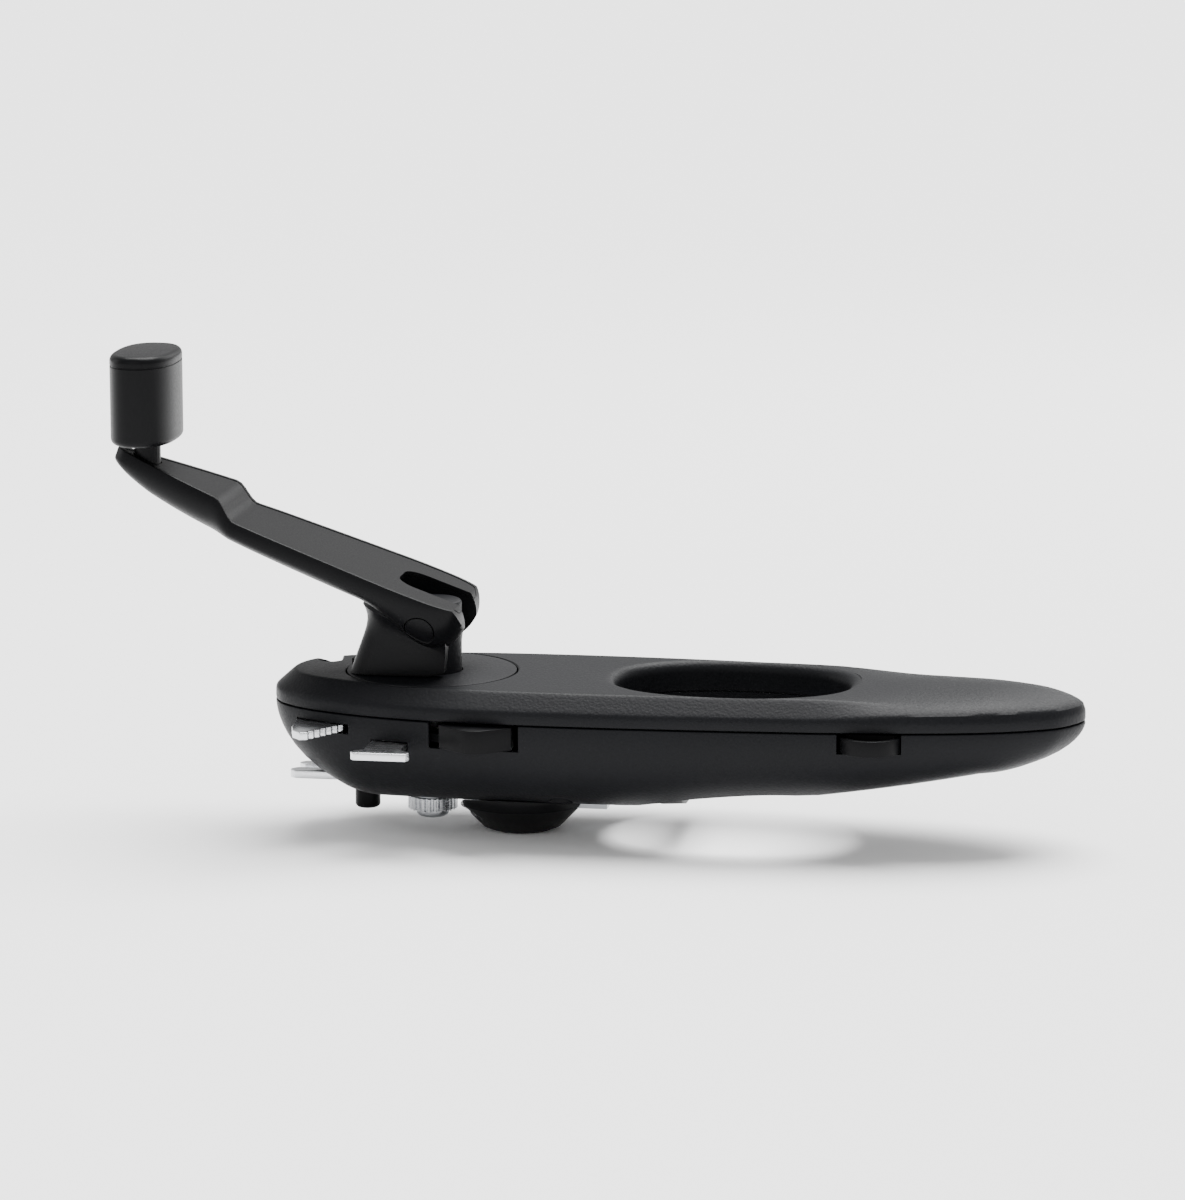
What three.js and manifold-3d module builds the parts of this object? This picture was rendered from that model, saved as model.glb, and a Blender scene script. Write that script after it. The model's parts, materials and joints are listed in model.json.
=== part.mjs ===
// Manual can opener with a folding crank, in millimetres, +Z up.
// The origin is the centre of the flat underside of the cutter housing, on which the opener stands.
// The head points to -X, the handle to +X, and the metal blades stick out on the -Y side.
// Inside the design group, X = 0 and Y = 0 is the crank's upright axis.
import * as THREE from 'three';
import { mergeVertices } from 'three/addons/utils/BufferGeometryUtils.js';
import Module from 'manifold-3d';

const wasm = await Module();
wasm.setup();

// ---- driving dimensions: body ----
const bodyLength = 205;
const bodyWidth = 57.8;
const noseReach = 40;          // from the crank axis to the nose
const noseRun = 28;            // how far back the nose's rounding reaches
const tailRun = 25;
const deckZ = 40;
const shoulderZ = 35.5;        // where the cover's bevel starts
const partingZ = 32.5;
const hullZ = 8.5;             // underside of the hull's flat stretch
const bevelWidth = 5;
const domeRise = 5.2;          // crown of the handle above the shoulder
const wall = 2.4;
const fit = 0.3;               // gap between neighbouring fixed pieces
const running = 0.35;          // gap round a turning piece
// ---- driving dimensions: opening and head ----
const openingLow = 47.5;
const openingHigh = 106;
const openingHalf = 20.5;
const tubeWall = 2.2;
const barX = 64;
const barThick = 5;
const barBottom = 9;
const barTop = 22.5;
// ---- driving dimensions: crank ----
const tableR = 21.5;
const tableThick = 3;
const postR = 7.6;
const hingeRise = 13;          // hinge above the deck
const postRise = 5;            // post's top above the hinge
const pinR = 2;
const shaftR = 3;
const armLength = 90;
const armHalf = 20;
const armSlope = 20;           // degrees, crank opened out
const rimNear = 8;             // arm's rim above the hinge line
const rimFar = 12;
const stepAt = 57;             // where the rim steps up
const armShell = 2.2;
const knobAt = 82;
const knobLong = 30;
const knobShort = 16.4;
const knobTall = 23;
const knobGap = 4.5;
const studR = 3.35;
const collarIn = postR + 0.6;
const collarWall = 3.3;
const collarClosed = postR + 3.2;
// ---- driving dimensions: cutting gear ----
const feedR = 6.3;
const feedTeeth = 26;
const feedTop = 7.4;
const feedThick = 3.2;
const cutterR = 9;
const cutterThick = 1.3;
const cutterX = 16.3;
const housingX = 23;           // centre of the cutter housing from the crank axis
const housingBase = 8;         // radius of its flat underside
const housingTop = 17;
const carrierTop = 8.1;
const carrierThick = 1.8;
const carrierHalf = 4.6;
// ---- driving dimensions: blades and side pieces ----
const plateThick = 2;
const lifterZ = 27.6;
const lifterLow = -31.4;
const lifterHigh = -17.4;
const lifterOut = 12.3;         // length outside the hull
const capZ = 24.4;
const capNeck = 4.6;            // half width of the cap lifter's neck
const capX = -6.2;
const capOut = 12.7;
const tabOut = 5.8;
const jawZ = 11.8;
const jawRaised = 17.5;
const pivotX = -3;
const pivotY = 13.9 - bodyWidth / 2;
const pivotR = 1.5;
const leverZ = 27;
const buttonX = 113.5;
const buttonZ = 27.5;
const buttonR = 7.6;
const screwR = 1.5;
const screwAt = [[36, 18], [36, -18], [122, 0], [138, 0]];

const rad = THREE.MathUtils.degToRad;
const smooth = (x, a, b) => THREE.MathUtils.smoothstep(x, a, b);
const lerp = THREE.MathUtils.lerp;

// ---- solids ----
function closed(geometry) {
  const bare = new THREE.BufferGeometry();
  bare.setAttribute('position', geometry.getAttribute('position').clone());
  if (geometry.index) bare.setIndex(geometry.index.clone());
  const merged = mergeVertices(bare, 1e-4);
  const p = merged.getAttribute('position').array;
  const source = merged.index.array;
  const faces = [];
  let volume = 0;
  for (let i = 0; i < source.length; i += 3) {
    const [a, b, c] = [source[i], source[i + 1], source[i + 2]];
    if (a === b || b === c || a === c) continue;
    faces.push(a, b, c);
    const [A, B, C] = [a, b, c].map((k) => new THREE.Vector3(p[3 * k], p[3 * k + 1], p[3 * k + 2]));
    volume += A.dot(B.cross(C));
  }
  if (volume < 0) for (let i = 0; i < faces.length; i += 3) [faces[i], faces[i + 1]] = [faces[i + 1], faces[i]];
  return { p, faces };
}

function solid(geometry) {
  const { p, faces } = closed(geometry);
  return new wasm.Manifold(new wasm.Mesh({
    numProp: 3, vertProperties: new Float32Array(p), triVerts: new Uint32Array(faces),
  }));
}

const cut = (body, ...tools) => tools.reduce((a, b) => a.subtract(b), body);
const join = (...bodies) => bodies.reduce((a, b) => a.add(b));

function geometryOf(body) {
  const mesh = body.getMesh();
  const points = new Float32Array((mesh.vertProperties.length / mesh.numProp) * 3);
  for (let i = 0; i < points.length / 3; i++) {
    for (let k = 0; k < 3; k++) points[3 * i + k] = mesh.vertProperties[i * mesh.numProp + k];
  }
  const geometry = new THREE.BufferGeometry();
  geometry.setAttribute('position', new THREE.BufferAttribute(points, 3));
  geometry.setIndex(new THREE.BufferAttribute(new Uint32Array(mesh.triVerts), 1));
  return geometry;
}

// A prism on an XY outline between two heights, with an optional bevel on both faces.
function prism(outline, low, high, bevel = 0) {
  const shape = new THREE.Shape(outline.map(([x, y]) => new THREE.Vector2(x, y)));
  const geometry = new THREE.ExtrudeGeometry(shape, {
    depth: high - low - 2 * bevel, bevelEnabled: bevel > 0, bevelThickness: bevel,
    bevelSize: bevel, bevelOffset: -bevel, bevelSegments: 2,
  });
  return geometry.translate(0, 0, low + bevel);
}

// A prism on an XZ outline between two values of Y.
const sidePrism = (outline, low, high) => prism(outline, -high, -low).rotateX(Math.PI / 2);
const box = (x0, x1, y0, y1, z0, z1) => new THREE.BoxGeometry(x1 - x0, y1 - y0, z1 - z0)
  .translate((x0 + x1) / 2, (y0 + y1) / 2, (z0 + z1) / 2);
const rod = (r, z0, z1, x = 0, y = 0, sides = 24) => new THREE.CylinderGeometry(r, r, z1 - z0, sides)
  .rotateX(Math.PI / 2).translate(x, y, (z0 + z1) / 2);
const crossRod = (r, y0, y1, x = 0, z = 0, sides = 24) => new THREE.CylinderGeometry(r, r, y1 - y0, sides)
  .translate(x, (y0 + y1) / 2, z);
const turned = (profile, sides = 32) => new THREE.LatheGeometry(
  profile.map(([r, z]) => new THREE.Vector2(r, z)), sides).rotateX(Math.PI / 2);
const ring = (inner, outer, z0, z1, sides = 32) => turned(
  [[inner, z0], [outer, z0], [outer, z1], [inner, z1], [inner, z0]], sides);

function roundRect(x0, x1, y0, y1, r, steps = 4) {
  const points = [];
  const corners = [[x1 - r, y1 - r, 0], [x0 + r, y1 - r, 90], [x0 + r, y0 + r, 180], [x1 - r, y0 + r, 270]];
  for (const [cx, cy, start] of corners) {
    for (let i = 0; i <= steps; i++) {
      const angle = rad(start + (90 * i) / steps);
      points.push([cx + r * Math.cos(angle), cy + r * Math.sin(angle)]);
    }
  }
  return points;
}

function helix(radius, wire, low, high, turns) {
  class Coil extends THREE.Curve {
    getPoint(t, out = new THREE.Vector3()) {
      const angle = 2 * Math.PI * turns * t;
      return out.set(radius * Math.cos(angle), radius * Math.sin(angle), lerp(low + wire, high - wire, t));
    }
  }
  const section = new THREE.Shape(Array.from({ length: 5 }, (_, i) => new THREE.Vector2(
    wire * Math.cos((i * Math.PI) / 2.5), wire * Math.sin((i * Math.PI) / 2.5))));
  return new THREE.ExtrudeGeometry(section, { extrudePath: new Coil(), steps: Math.round(turns * 8) });
}

// A lens is a closed body on a symmetric plan outline. Each level is a ring that lies some way in
// from the outline towards a spine on Y = 0, at a height of its own.
function lens(half, spineLow, spineHigh, levels) {
  const loop = [...half, ...half.slice(1, -1).reverse().map(([x, y]) => [x, -y])];
  const points = [];
  for (const level of levels) {
    for (const [x, y] of loop) {
      const mx = THREE.MathUtils.clamp(x, spineLow, spineHigh);
      const reach = Math.hypot(x - mx, y);
      const inward = Math.min(level.inset(reach), reach) / reach;
      const px = x + (mx - x) * inward;
      const py = inward === 1 ? 0 : y * (1 - inward);
      points.push(px, py, level.z(px, reach, mx, x));
    }
  }
  const n = loop.length;
  const faces = [];
  for (let k = 0; k + 1 < levels.length; k++) {
    for (let i = 0; i < n; i++) {
      const j = (i + 1) % n;
      const [a, b, c, d] = [k * n + i, k * n + j, (k + 1) * n + j, (k + 1) * n + i];
      faces.push(a, d, b, b, d, c);
    }
  }
  const geometry = new THREE.BufferGeometry();
  geometry.setAttribute('position', new THREE.BufferAttribute(new Float32Array(points), 3));
  geometry.setIndex(faces);
  return geometry;
}

// ---- materials ----
const finish = (color, roughness, metalness) => () => new THREE.MeshStandardMaterial({ color, roughness, metalness });
const grained = finish(0x1d1e21, 0.62, 0);
const satin = finish(0x17181a, 0.42, 0);
const softTouch = finish(0x232427, 0.7, 0);
const steel = finish(0xc8cbcf, 0.24, 1);
const darkSteel = finish(0x8d9094, 0.35, 1);
const springSteel = finish(0xa9acb0, 0.3, 1);
const acetal = finish(0xd9d6cc, 0.5, 0);

const opener = new THREE.Group();
const design = new THREE.Group();
design.position.x = -housingX;
opener.add(design);

function piece(name, body, material, parent = design) {
  const geometry = body instanceof THREE.BufferGeometry ? geometryOf(solid(body)) : geometryOf(body);
  const mesh = new THREE.Mesh(geometry, material());
  mesh.name = name;
  parent.add(mesh);
  return mesh;
}

// ---- body outline ----
// Stations along the body: share of its length from the nose, share of its half width.
const stations = [[0, 0], [0.013, 0.34], [0.042, 0.55], [0.086, 0.715], [0.145, 0.85], [0.218, 0.95],
  [0.346, 1], [0.554, 0.96], [0.77, 0.837], [0.888, 0.668], [0.946, 0.497], [0.976, 0.348], [1, 0]];
const noseX = -noseReach;
const tailX = noseX + bodyLength;
const spineLow = noseX + noseRun;
const spineHigh = tailX - tailRun;

function halfPlan(inset, stationList, length, half, start, perSpan = 3) {
  const upper = stationList.map(([u, f]) => new THREE.Vector3(start + length * u, half * f, 0));
  const lower = upper.slice(1, -1).reverse().map((v) => new THREE.Vector3(v.x, -v.y, 0));
  const curve = new THREE.CatmullRomCurve3([...upper, ...lower], true, 'centripetal');
  const spans = upper.length - 1;
  const count = spans * perSpan;
  const points = [];
  for (let i = 0; i <= count; i++) {
    const t = (i / count) / 2;
    const p = curve.getPoint(t);
    const d = curve.getTangent(t);
    if (i === 0) points.push([start + inset, 0]);
    else if (i === count) points.push([start + length - inset, 0]);
    else points.push([p.x + d.y * inset, Math.max(p.y - d.x * inset, 0.05)]);
  }
  return points;
}
const bodyPlan = (inset) => halfPlan(inset, stations, bodyLength, bodyWidth / 2, noseX, 2);
const widthAt = (x) => {
  const points = bodyPlan(0);
  const i = Math.max(1, points.findIndex(([px]) => px >= x));
  const [a, b] = [points[i - 1], points[i]];
  return lerp(a[1], b[1], (x - a[0]) / (b[0] - a[0]));
};

// ---- cover ----
const domeStart = openingHigh - 8;
const domeFull = openingHigh + 20;
function coverTop(down) {
  const height = (fraction) => (px, reach, mx) => {
    const inward = fraction * reach;
    const bevel = shoulderZ + (deckZ - shoulderZ) * Math.min(1, inward / bevelWidth);
    const dome = shoulderZ + domeRise * Math.sqrt(1 - (1 - fraction) ** 2);
    return lerp(bevel, dome, smooth(mx, domeStart, domeFull)) - down;
  };
  const edge = (inward) => ({
    inset: () => inward,
    z: (px, reach, mx) => height(Math.min(1, inward / reach))(px, reach, mx),
  });
  const share = (fraction) => ({ inset: (reach) => fraction * reach, z: height(fraction) });
  return [share(1), share(0.72), share(0.45), edge(bevelWidth), edge(1.6), edge(0)];
}
const flat = (z) => [{ inset: () => 0, z: () => z }, { inset: (reach) => reach, z: () => z }];
const bodyLens = (inset, levels) => lens(bodyPlan(inset), spineLow, spineHigh, levels);

const oval = (grow, steps = 36) => {
  const power = 2 / 2.3;
  const cx = (openingLow + openingHigh) / 2;
  return Array.from({ length: steps }, (_, i) => {
    const angle = (2 * Math.PI * i) / steps;
    const c = Math.cos(angle);
    const s = Math.sin(angle);
    return [cx + ((openingHigh - openingLow) / 2 + grow) * Math.sign(c) * Math.abs(c) ** power,
      (openingHalf + grow) * Math.sign(s) * Math.abs(s) ** power];
  });
};
const openingCut = solid(prism(oval(0), 0, deckZ + 9));
const hingeZ = deckZ + hingeRise;
const pocketR = tableR + running;
const pocketZ = deckZ - tableThick - fit;
const padZ = pocketZ - wall;
const bushR = shaftR + 2.2;
const flangeR = bushR + 2;

// The hook at the nose is left by a curved notch that opens towards +Y.
const notch = [[-27.6, 30], [-26.2, 15], [-25.4, 9.8], [-25.7, 6.9], [-27.4, 5.4], [-29.6, 5.9], [-30.9, 8.2],
  [-30.6, 11], [-29.2, 14], [-28.8, 16.2], [-29.6, 19], [-33, 30]];
const notchCut = solid(prism(notch, 0, deckZ + 9));
const notchWall = solid(prism(roundRect(-33.2, -23.2, 3, 30, 2), 0, partingZ - fit));

const screwBossR = screwR + 2;
const screwTop = deckZ - 4;
const coverOuter = solid(bodyLens(0, [...coverTop(0), ...flat(partingZ)]));
const coverInner = solid(bodyLens(wall, [...coverTop(wall), ...flat(partingZ - 2)]));
const coverInside = join(
  solid(prism(oval(tubeWall), partingZ, deckZ + 5)),
  solid(rod(pocketR + wall, padZ, deckZ + 5, 0, 0, 48)),
  solid(prism(roundRect(-33.2, -23.2, 3, 30, 2), partingZ, deckZ + 5)),
  ...screwAt.map(([x, y]) => solid(rod(screwBossR, partingZ, deckZ + 5, x, y))),
).intersect(coverOuter);
const flareWide = 2.6;
const flareDeep = 2.2;
// A flared ring that softens the opening's upper rim.
function openingFlare() {
  const outer = oval(flareWide);
  const inner = oval(-0.1);
  const n = outer.length;
  const points = [];
  for (const [x, y] of inner) points.push(x, y, deckZ - flareDeep);
  for (const [x, y] of outer) points.push(x, y, deckZ + 0.01);
  for (const [x, y] of outer) points.push(x, y, deckZ + 3);
  const cx = (openingLow + openingHigh) / 2;
  points.push(cx, 0, deckZ - flareDeep, cx, 0, deckZ + 3);
  const faces = [];
  for (let i = 0; i < n; i++) {
    const j = (i + 1) % n;
    faces.push(3 * n, j, i, 3 * n + 1, 2 * n + i, 2 * n + j);
    for (const k of [0, n]) faces.push(k + i, k + j, k + n + j, k + i, k + n + j, k + n + i);
  }
  const geometry = new THREE.BufferGeometry();
  geometry.setAttribute('position', new THREE.BufferAttribute(new Float32Array(points), 3));
  geometry.setIndex(faces);
  return geometry;
}
const rimFlare = solid(openingFlare());
piece('top_cover', cut(join(cut(coverOuter, coverInner), coverInside), openingCut, rimFlare, notchCut,
  solid(rod(pocketR, pocketZ, deckZ + 1, 0, 0, 48)), solid(rod(bushR + fit, 20, deckZ, 0, 0)),
  ...screwAt.map(([x, y]) => solid(rod(screwR + fit, partingZ - 1, screwTop + fit, x, y, 16)))), grained);

// ---- hull ----
const keel = (x) => hullZ + 11 * Math.max(0, (x - 50) / 90) ** 1.6;
const hullTopZ = partingZ - fit;
function hullLevels(top, down, drop = 0) {
  const angles = [0, 12, 26, 42, 58, 74, 90];
  const power = (x) => 2 / lerp(1.8, 2.8, smooth(x, noseX, spineLow) * (1 - smooth(x, spineHigh, tailX)));
  return [{ inset: (reach) => reach, z: () => top }, { inset: () => 0, z: () => top },
    ...angles.slice(top > hullTopZ ? 0 : 1).map((degrees) => ({
      inset: (reach) => (degrees === 90 ? reach : reach * (1 - Math.cos(rad(degrees)) ** 0.8)),
      z: (px, reach, mx, x) => {
        const share = degrees === 90 ? 0 : Math.cos(rad(degrees)) ** 0.8;
        const n = 2 / power(x);
        const depth = (1 - share ** n) ** (1 / n);
        return hullTopZ - (hullTopZ - down - keel(mx)) * depth - drop;
      },
    }))];
}
const hullOuter = solid(bodyLens(0, hullLevels(hullTopZ, 0)));
const hullInner = solid(bodyLens(wall, hullLevels(hullTopZ + 1, wall)));
const hullClear = solid(bodyLens(0, hullLevels(hullTopZ, 0, fit)));
const bossSeatZ = 22;
const buttonY = -widthAt(buttonX) + 2.6;
const buttonWay = 3;
const stemR = 1.5;
const stemEnd = buttonY + 8.6;
const stemZ = buttonZ + 2.2;
const springBackY = stemEnd + 1.6;
const jawTip = (x, low, high) => [[x + 1.6, low], [x + 0.3, low + 1.2], [x, (low + high) / 2],
  [x + 0.3, high - 1.2], [x + 1.6, high]];
const bend = [[noseX + 2, jawZ], [-21.4, jawZ], [-17.4, jawRaised], [4, jawRaised], [4, jawRaised + plateThick],
  [-18.2, jawRaised + plateThick], [-22.2, jawZ + plateThick], [noseX + 2, jawZ + plateThick]];
const eye = (r, from, to, steps = 10) => Array.from({ length: steps + 1 }, (_, i) => {
  const angle = rad(lerp(from, to, i / steps));
  return [pivotX + r * Math.cos(angle), pivotY + r * Math.sin(angle)];
});
const movingPlan = [...eye(4.6, -150, 60), [-12.6, 0.4], [-18, 5.6], ...jawTip(noseX + 4.8, 1.8, 5.6).reverse(),
  [-20, 1.8], [-15.4, -2.4]];
const jawShape = solid(sidePrism(bend, -25, 12)).intersect(solid(prism(movingPlan, 0, 40)));
// The hull leaves the moving jaw a clearance all the way through its swing.
const jawSwing = 6;
const jawWay = join(...[0, 0.5, 1].flatMap((share) => [-fit, fit].map((lift) => jawShape
  .translate([-pivotX, -pivotY, lift]).rotate([0, 0, share * jawSwing]).translate([pivotX, pivotY, 0]))));
const leverSlot = solid(box(1, 28.5, -bodyWidth, pivotY - 6, leverZ - 1.4, partingZ + 1));
const hullInside = join(
  solid(prism(oval(tubeWall), 0, hullTopZ)), notchWall,
  solid(rod(pivotR + 2, 0, 15, pivotX, pivotY)),
  solid(rod(flangeR + 1, 0, hullZ + 4, 0, 0)),
  solid(box(buttonX - 4, buttonX + 4, springBackY, springBackY + 1.8, 0, stemZ + 3)),
  ...screwAt.map(([x, y]) => solid(rod(screwBossR + 1.2, 0, hullTopZ, x, y))),
).intersect(hullOuter);
piece('base_housing', cut(join(cut(hullOuter, hullInner), hullInside), openingCut, notchCut, leverSlot, jawWay,
  solid(rod(bushR + fit, 0, 40, 0, 0)),
  solid(rod(flangeR + fit, hullZ + 4, hullZ + 8, 0, 0)),
  solid(rod(pivotR + fit, 12, 16, pivotX, pivotY)),
  solid(box(lifterLow - fit, lifterHigh + fit, -bodyWidth, -8, lifterZ - fit, lifterZ + plateThick + fit)),
  solid(box(capX - capNeck - fit, capX + capNeck + fit, -bodyWidth, -8, capZ - fit, capZ + plateThick + fit)),
  solid(box(noseX - 4, -19, -6.6, 6.6, jawZ - fit, jawZ + plateThick + fit)),
  solid(box(-24.3, -17, -6.6, 6.2, jawZ - fit, jawRaised + plateThick)),
  solid(box(buttonX - buttonR - fit, buttonX + buttonR + fit, -bodyWidth, -17, buttonZ - fit, partingZ + 1)),
  solid(crossRod(stemR + fit, springBackY - 1, springBackY + 4, buttonX, stemZ, 16)),
  solid(box(barX - barThick / 2 - fit, barX + barThick / 2 + fit, -openingHalf - 1.2, openingHalf + 1.2,
    barBottom - fit, barTop + fit)),
  ...screwAt.map(([x, y]) => join(solid(rod(screwR + fit, 0, 40, x, y, 16)),
    solid(rod(screwBossR - 0.4, 0, bossSeatZ, x, y, 16))))), grained);

screwAt.forEach(([x, y], i) => piece(`case_screw_${i + 1}`, turned([[0, bossSeatZ - 2.4],
  [screwR + 1.2, bossSeatZ - 2.4], [screwR + 1.2, bossSeatZ - fit], [screwR, bossSeatZ - fit],
  [screwR, screwTop - 1], [0.4, screwTop], [0, screwTop]], 16)
  .translate(x, y, 0), darkSteel));

// ---- bar across the opening, with gripping teeth for screw caps ----
const toothPitch = 3.4;
const barEdge = [];
for (let i = -4; i <= 4; i++) {
  barEdge.push([barX - barThick / 2, (i - 0.35) * toothPitch], [barX - barThick / 2 - 1.1, i * toothPitch]);
}
barEdge.push([barX - barThick / 2, 4.4 * toothPitch]);
const barEnd = openingHalf + 0.9;
piece('cap_grip_bar', solid(prism([[barX + barThick / 2, barEnd], [barX - barThick / 2, barEnd],
  ...barEdge.reverse(),
  [barX - barThick / 2, -barEnd], [barX + barThick / 2, -barEnd]], barBottom, barTop)).intersect(hullOuter), satin);

// ---- blades at the head ----
// Each stands out of the hull's side by its own length, whatever the hull's width there.
const lifterY = -widthAt(-24) - lifterOut;
const serrated = [];
for (let i = 0; i <= 6; i++) {
  const t = i / 6;
  const [x, y] = [lerp(-18.6, -25.4, t), lifterY + lerp(11.2, 0.6, t)];
  serrated.push([x, y]);
  if (i < 6) serrated.push([x - 1.3, y - 0.7]);
}
piece('lid_lifter_plate', solid(prism([[lifterLow, -9], [lifterHigh, -9], ...serrated, [-27.4, lifterY],
  [-29.8, lifterY + 2.8], [-30.9, lifterY + 7.2], [lifterLow, lifterY + 14.2]], lifterZ, lifterZ + plateThick)),
steel);

const headWay = 8.8;
const capY = -widthAt(capX) - capOut;
const capHead = [[capX + headWay - 2.2, capY], [capX + headWay - 1.4, capY + 1.3],
  [capX + headWay - 1.9, capY + 2.8], [capX + capNeck, capY + 4.4], [capX + capNeck, -9]];
const sleeveR = pivotR + fit + 1.5;
piece('cap_lifter', cut(solid(prism([...capHead, ...capHead.map(([x, y]) => [2 * capX - x, y]).reverse()],
  capZ, capZ + plateThick)), solid(rod(sleeveR + fit, 0, 40, pivotX, pivotY))), steel);

piece('fixed_jaw', solid(prism([...jawTip(noseX + 4, -6.2, -1.8), [-19.4, -1.8], [-19.4, -6.2]].reverse(),
  jawZ, jawZ + plateThick)), steel);

// ---- pincer lever: its tab is pressed in to close the moving jaw on the fixed one ----
piece('moving_jaw', cut(jawShape, solid(rod(pivotR + running, 0, 40, pivotX, pivotY))), steel);

const leverTop = partingZ - 0.7;
const tabY = -widthAt(16) - tabOut;
const tab = [[7, tabY + 9.7], [7, tabY + 5.8], [13.6, tabY + 0.6], [15, tabY], [17, tabY], [18.4, tabY + 0.6],
  [25.2, tabY + 5.6], [25.2, tabY + 9.7]];
const leverPlan = [...eye(4.8, 75, 250), [7, tabY + 7.2], [24, tabY + 7.2], [24, tabY + 11.6], [4, -18.6]];
piece('jaw_lever', cut(join(
  solid(prism(leverPlan, leverZ, leverZ + 2.2)),
  solid(prism(tab, leverZ - 1, leverTop, 0)),
  solid(rod(sleeveR, jawRaised + plateThick + fit, leverZ + 2.2, pivotX, pivotY)),
), solid(rod(pivotR + running, 0, 40, pivotX, pivotY))), satin);
piece('jaw_pivot_pin', solid(rod(pivotR, 12.4, 31.6, pivotX, pivotY)), darkSteel);
piece('jaw_spring', solid(helix(sleeveR + 1.1, 0.45, jawRaised + plateThick + 0.6, capZ - 0.5, 3)
  .translate(pivotX, pivotY, 0)), springSteel);

// ---- thumb button at the side of the handle ----
const halfRound = (r, y) => Array.from({ length: 17 }, (_, i) => {
  const angle = Math.PI + (Math.PI * i) / 16;
  return [buttonX + r * Math.cos(angle), y + 0.95 * r * Math.sin(angle)];
});
const buttonTop = partingZ - fit - 0.8;
piece('side_button', cut(join(
  solid(prism([...halfRound(buttonR, buttonY), [buttonX + buttonR, buttonY + 3], [buttonX - buttonR, buttonY + 3]],
    buttonZ, buttonTop)),
  solid(crossRod(stemR, buttonY + 2, stemEnd, buttonX, stemZ, 16)),
), solid(prism([...halfRound(buttonR - 1.5, buttonY), [buttonX + buttonR - 1.5, buttonY + 1.5],
  [buttonX - buttonR + 1.5, buttonY + 1.5]], buttonTop - 2.2, buttonTop + 1))), satin);
piece('button_spring', solid(helix(2.4, 0.4, 0, springBackY - buttonY - 3.8, 4).rotateX(-Math.PI / 2)
  .translate(buttonX, buttonY + 3.5, stemZ)), springSteel);

// ---- guide foot and cutter housing under the hull ----
const footX = -16.8;
piece('guide_foot', cut(solid(turned([[0, hullZ - 4.7], [2.6, hullZ - 4.7], [3.2, hullZ - 4.1], [3.2, 15], [0, 15]], 24)
  .translate(footX, 0, 0)), hullClear), satin);
const housing = solid(turned([[0, 0], [housingBase, 0], [housingBase + 2.2, 0.9], [housingTop - 3.2, 4.6],
  [housingTop - 0.6, 7], [housingTop, 9], [housingTop, 14], [0, 14]], 36).translate(housingX, 0, 0));
const carrierLow = carrierTop - carrierThick;
const slideWay = 2;
const cutterTop = carrierLow - fit;
const cutterLow = cutterTop - cutterThick;
const springLow = 2.4;
const springX = [27.8, 33.6];
piece('cutter_housing', cut(housing, hullClear,
  solid(rod(cutterR + 0.8, cutterLow - 0.7, 12, cutterX, 0, 40)),
  solid(rod(cutterR + 0.8, cutterLow - 0.7, 12, cutterX + slideWay, 0, 40)),
  solid(box(0, cutterX + 3, -cutterR - 0.8, cutterR + 0.8, cutterLow - 0.7, 12)),
  solid(box(8, 60, -carrierHalf - fit, carrierHalf + fit, carrierLow - fit, 12)),
  solid(box(cutterX, springX[1] + 0.4, -2.9, 2.9, springLow - 0.2, 12))), satin);

// ---- spring-loaded cutter on its carrier ----
const tailEnd = 45.5;
piece('cutter_carrier', cut(join(
  solid(prism([[10.5, -2.6], [12.5, -carrierHalf], [tailEnd, -carrierHalf], [tailEnd, carrierHalf],
    [12.5, carrierHalf], [10.5, 2.6]], carrierLow, carrierTop)),
  solid(box(springX[0] - 1.7, springX[0] - 0.2, -2.4, 2.4, springLow + 0.2, carrierLow + 0.5)),
), solid(rod(1.6 + fit, 0, 12, cutterX, 0, 20))), darkSteel);
piece('cutter_stud', solid(turned([[0, cutterLow - 0.6], [2.6, cutterLow - 0.6], [2.6, cutterLow - 0.2],
  [1.6, cutterLow - 0.2], [1.6, carrierTop - 0.1], [0, carrierTop - 0.1]], 20).translate(cutterX, 0, 0)), darkSteel);
piece('cutter_wheel', solid(turned([[1.6 + running, cutterLow + 0.05], [cutterR - 1.6, cutterLow + 0.05],
  [cutterR, cutterTop - 0.35], [cutterR, cutterTop - 0.15], [1.6 + running, cutterTop - 0.15],
  [1.6 + running, cutterLow + 0.05]], 40).translate(cutterX, 0, 0)), steel);
piece('carrier_spring', solid(helix(1.5, 0.3, 0, springX[1] - springX[0], 4).rotateY(Math.PI / 2)
  .translate(springX[0], 0, springLow + 1.95)), springSteel);

// ---- bushes, shaft and feed wheel ----
piece('upper_bush', solid(turned([[shaftR + running, padZ - 2.8], [flangeR, padZ - 2.8], [flangeR, padZ - fit],
  [bushR, padZ - fit], [bushR, pocketZ - 0.2], [shaftR + running, pocketZ - 0.2],
  [shaftR + running, padZ - 2.8]], 24)), acetal);
piece('lower_bush', solid(turned([[shaftR + running, hullZ + 0.1], [bushR, hullZ + 0.1], [bushR, hullZ + 4 + fit],
  [flangeR, hullZ + 4 + fit], [flangeR, hullZ + 6], [shaftR + running, hullZ + 6],
  [shaftR + running, hullZ + 0.1]], 24)), acetal);
const boreR = 1.4;
const feedLow = feedTop - feedThick;
piece('drive_shaft', cut(solid(rod(shaftR, feedLow + 0.1, hingeZ - pinR - 1.2)),
  solid(rod(boreR, 0, feedTop + 8, 0, 0, 16))), darkSteel);
const gear = [];
for (let i = 0; i < feedTeeth; i++) {
  for (const [share, r] of [[-0.25, feedR - 0.75], [-0.08, feedR], [0.08, feedR], [0.25, feedR - 0.75]]) {
    const angle = (2 * Math.PI * (i + share)) / feedTeeth;
    gear.push([r * Math.cos(angle), r * Math.sin(angle)]);
  }
}
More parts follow.
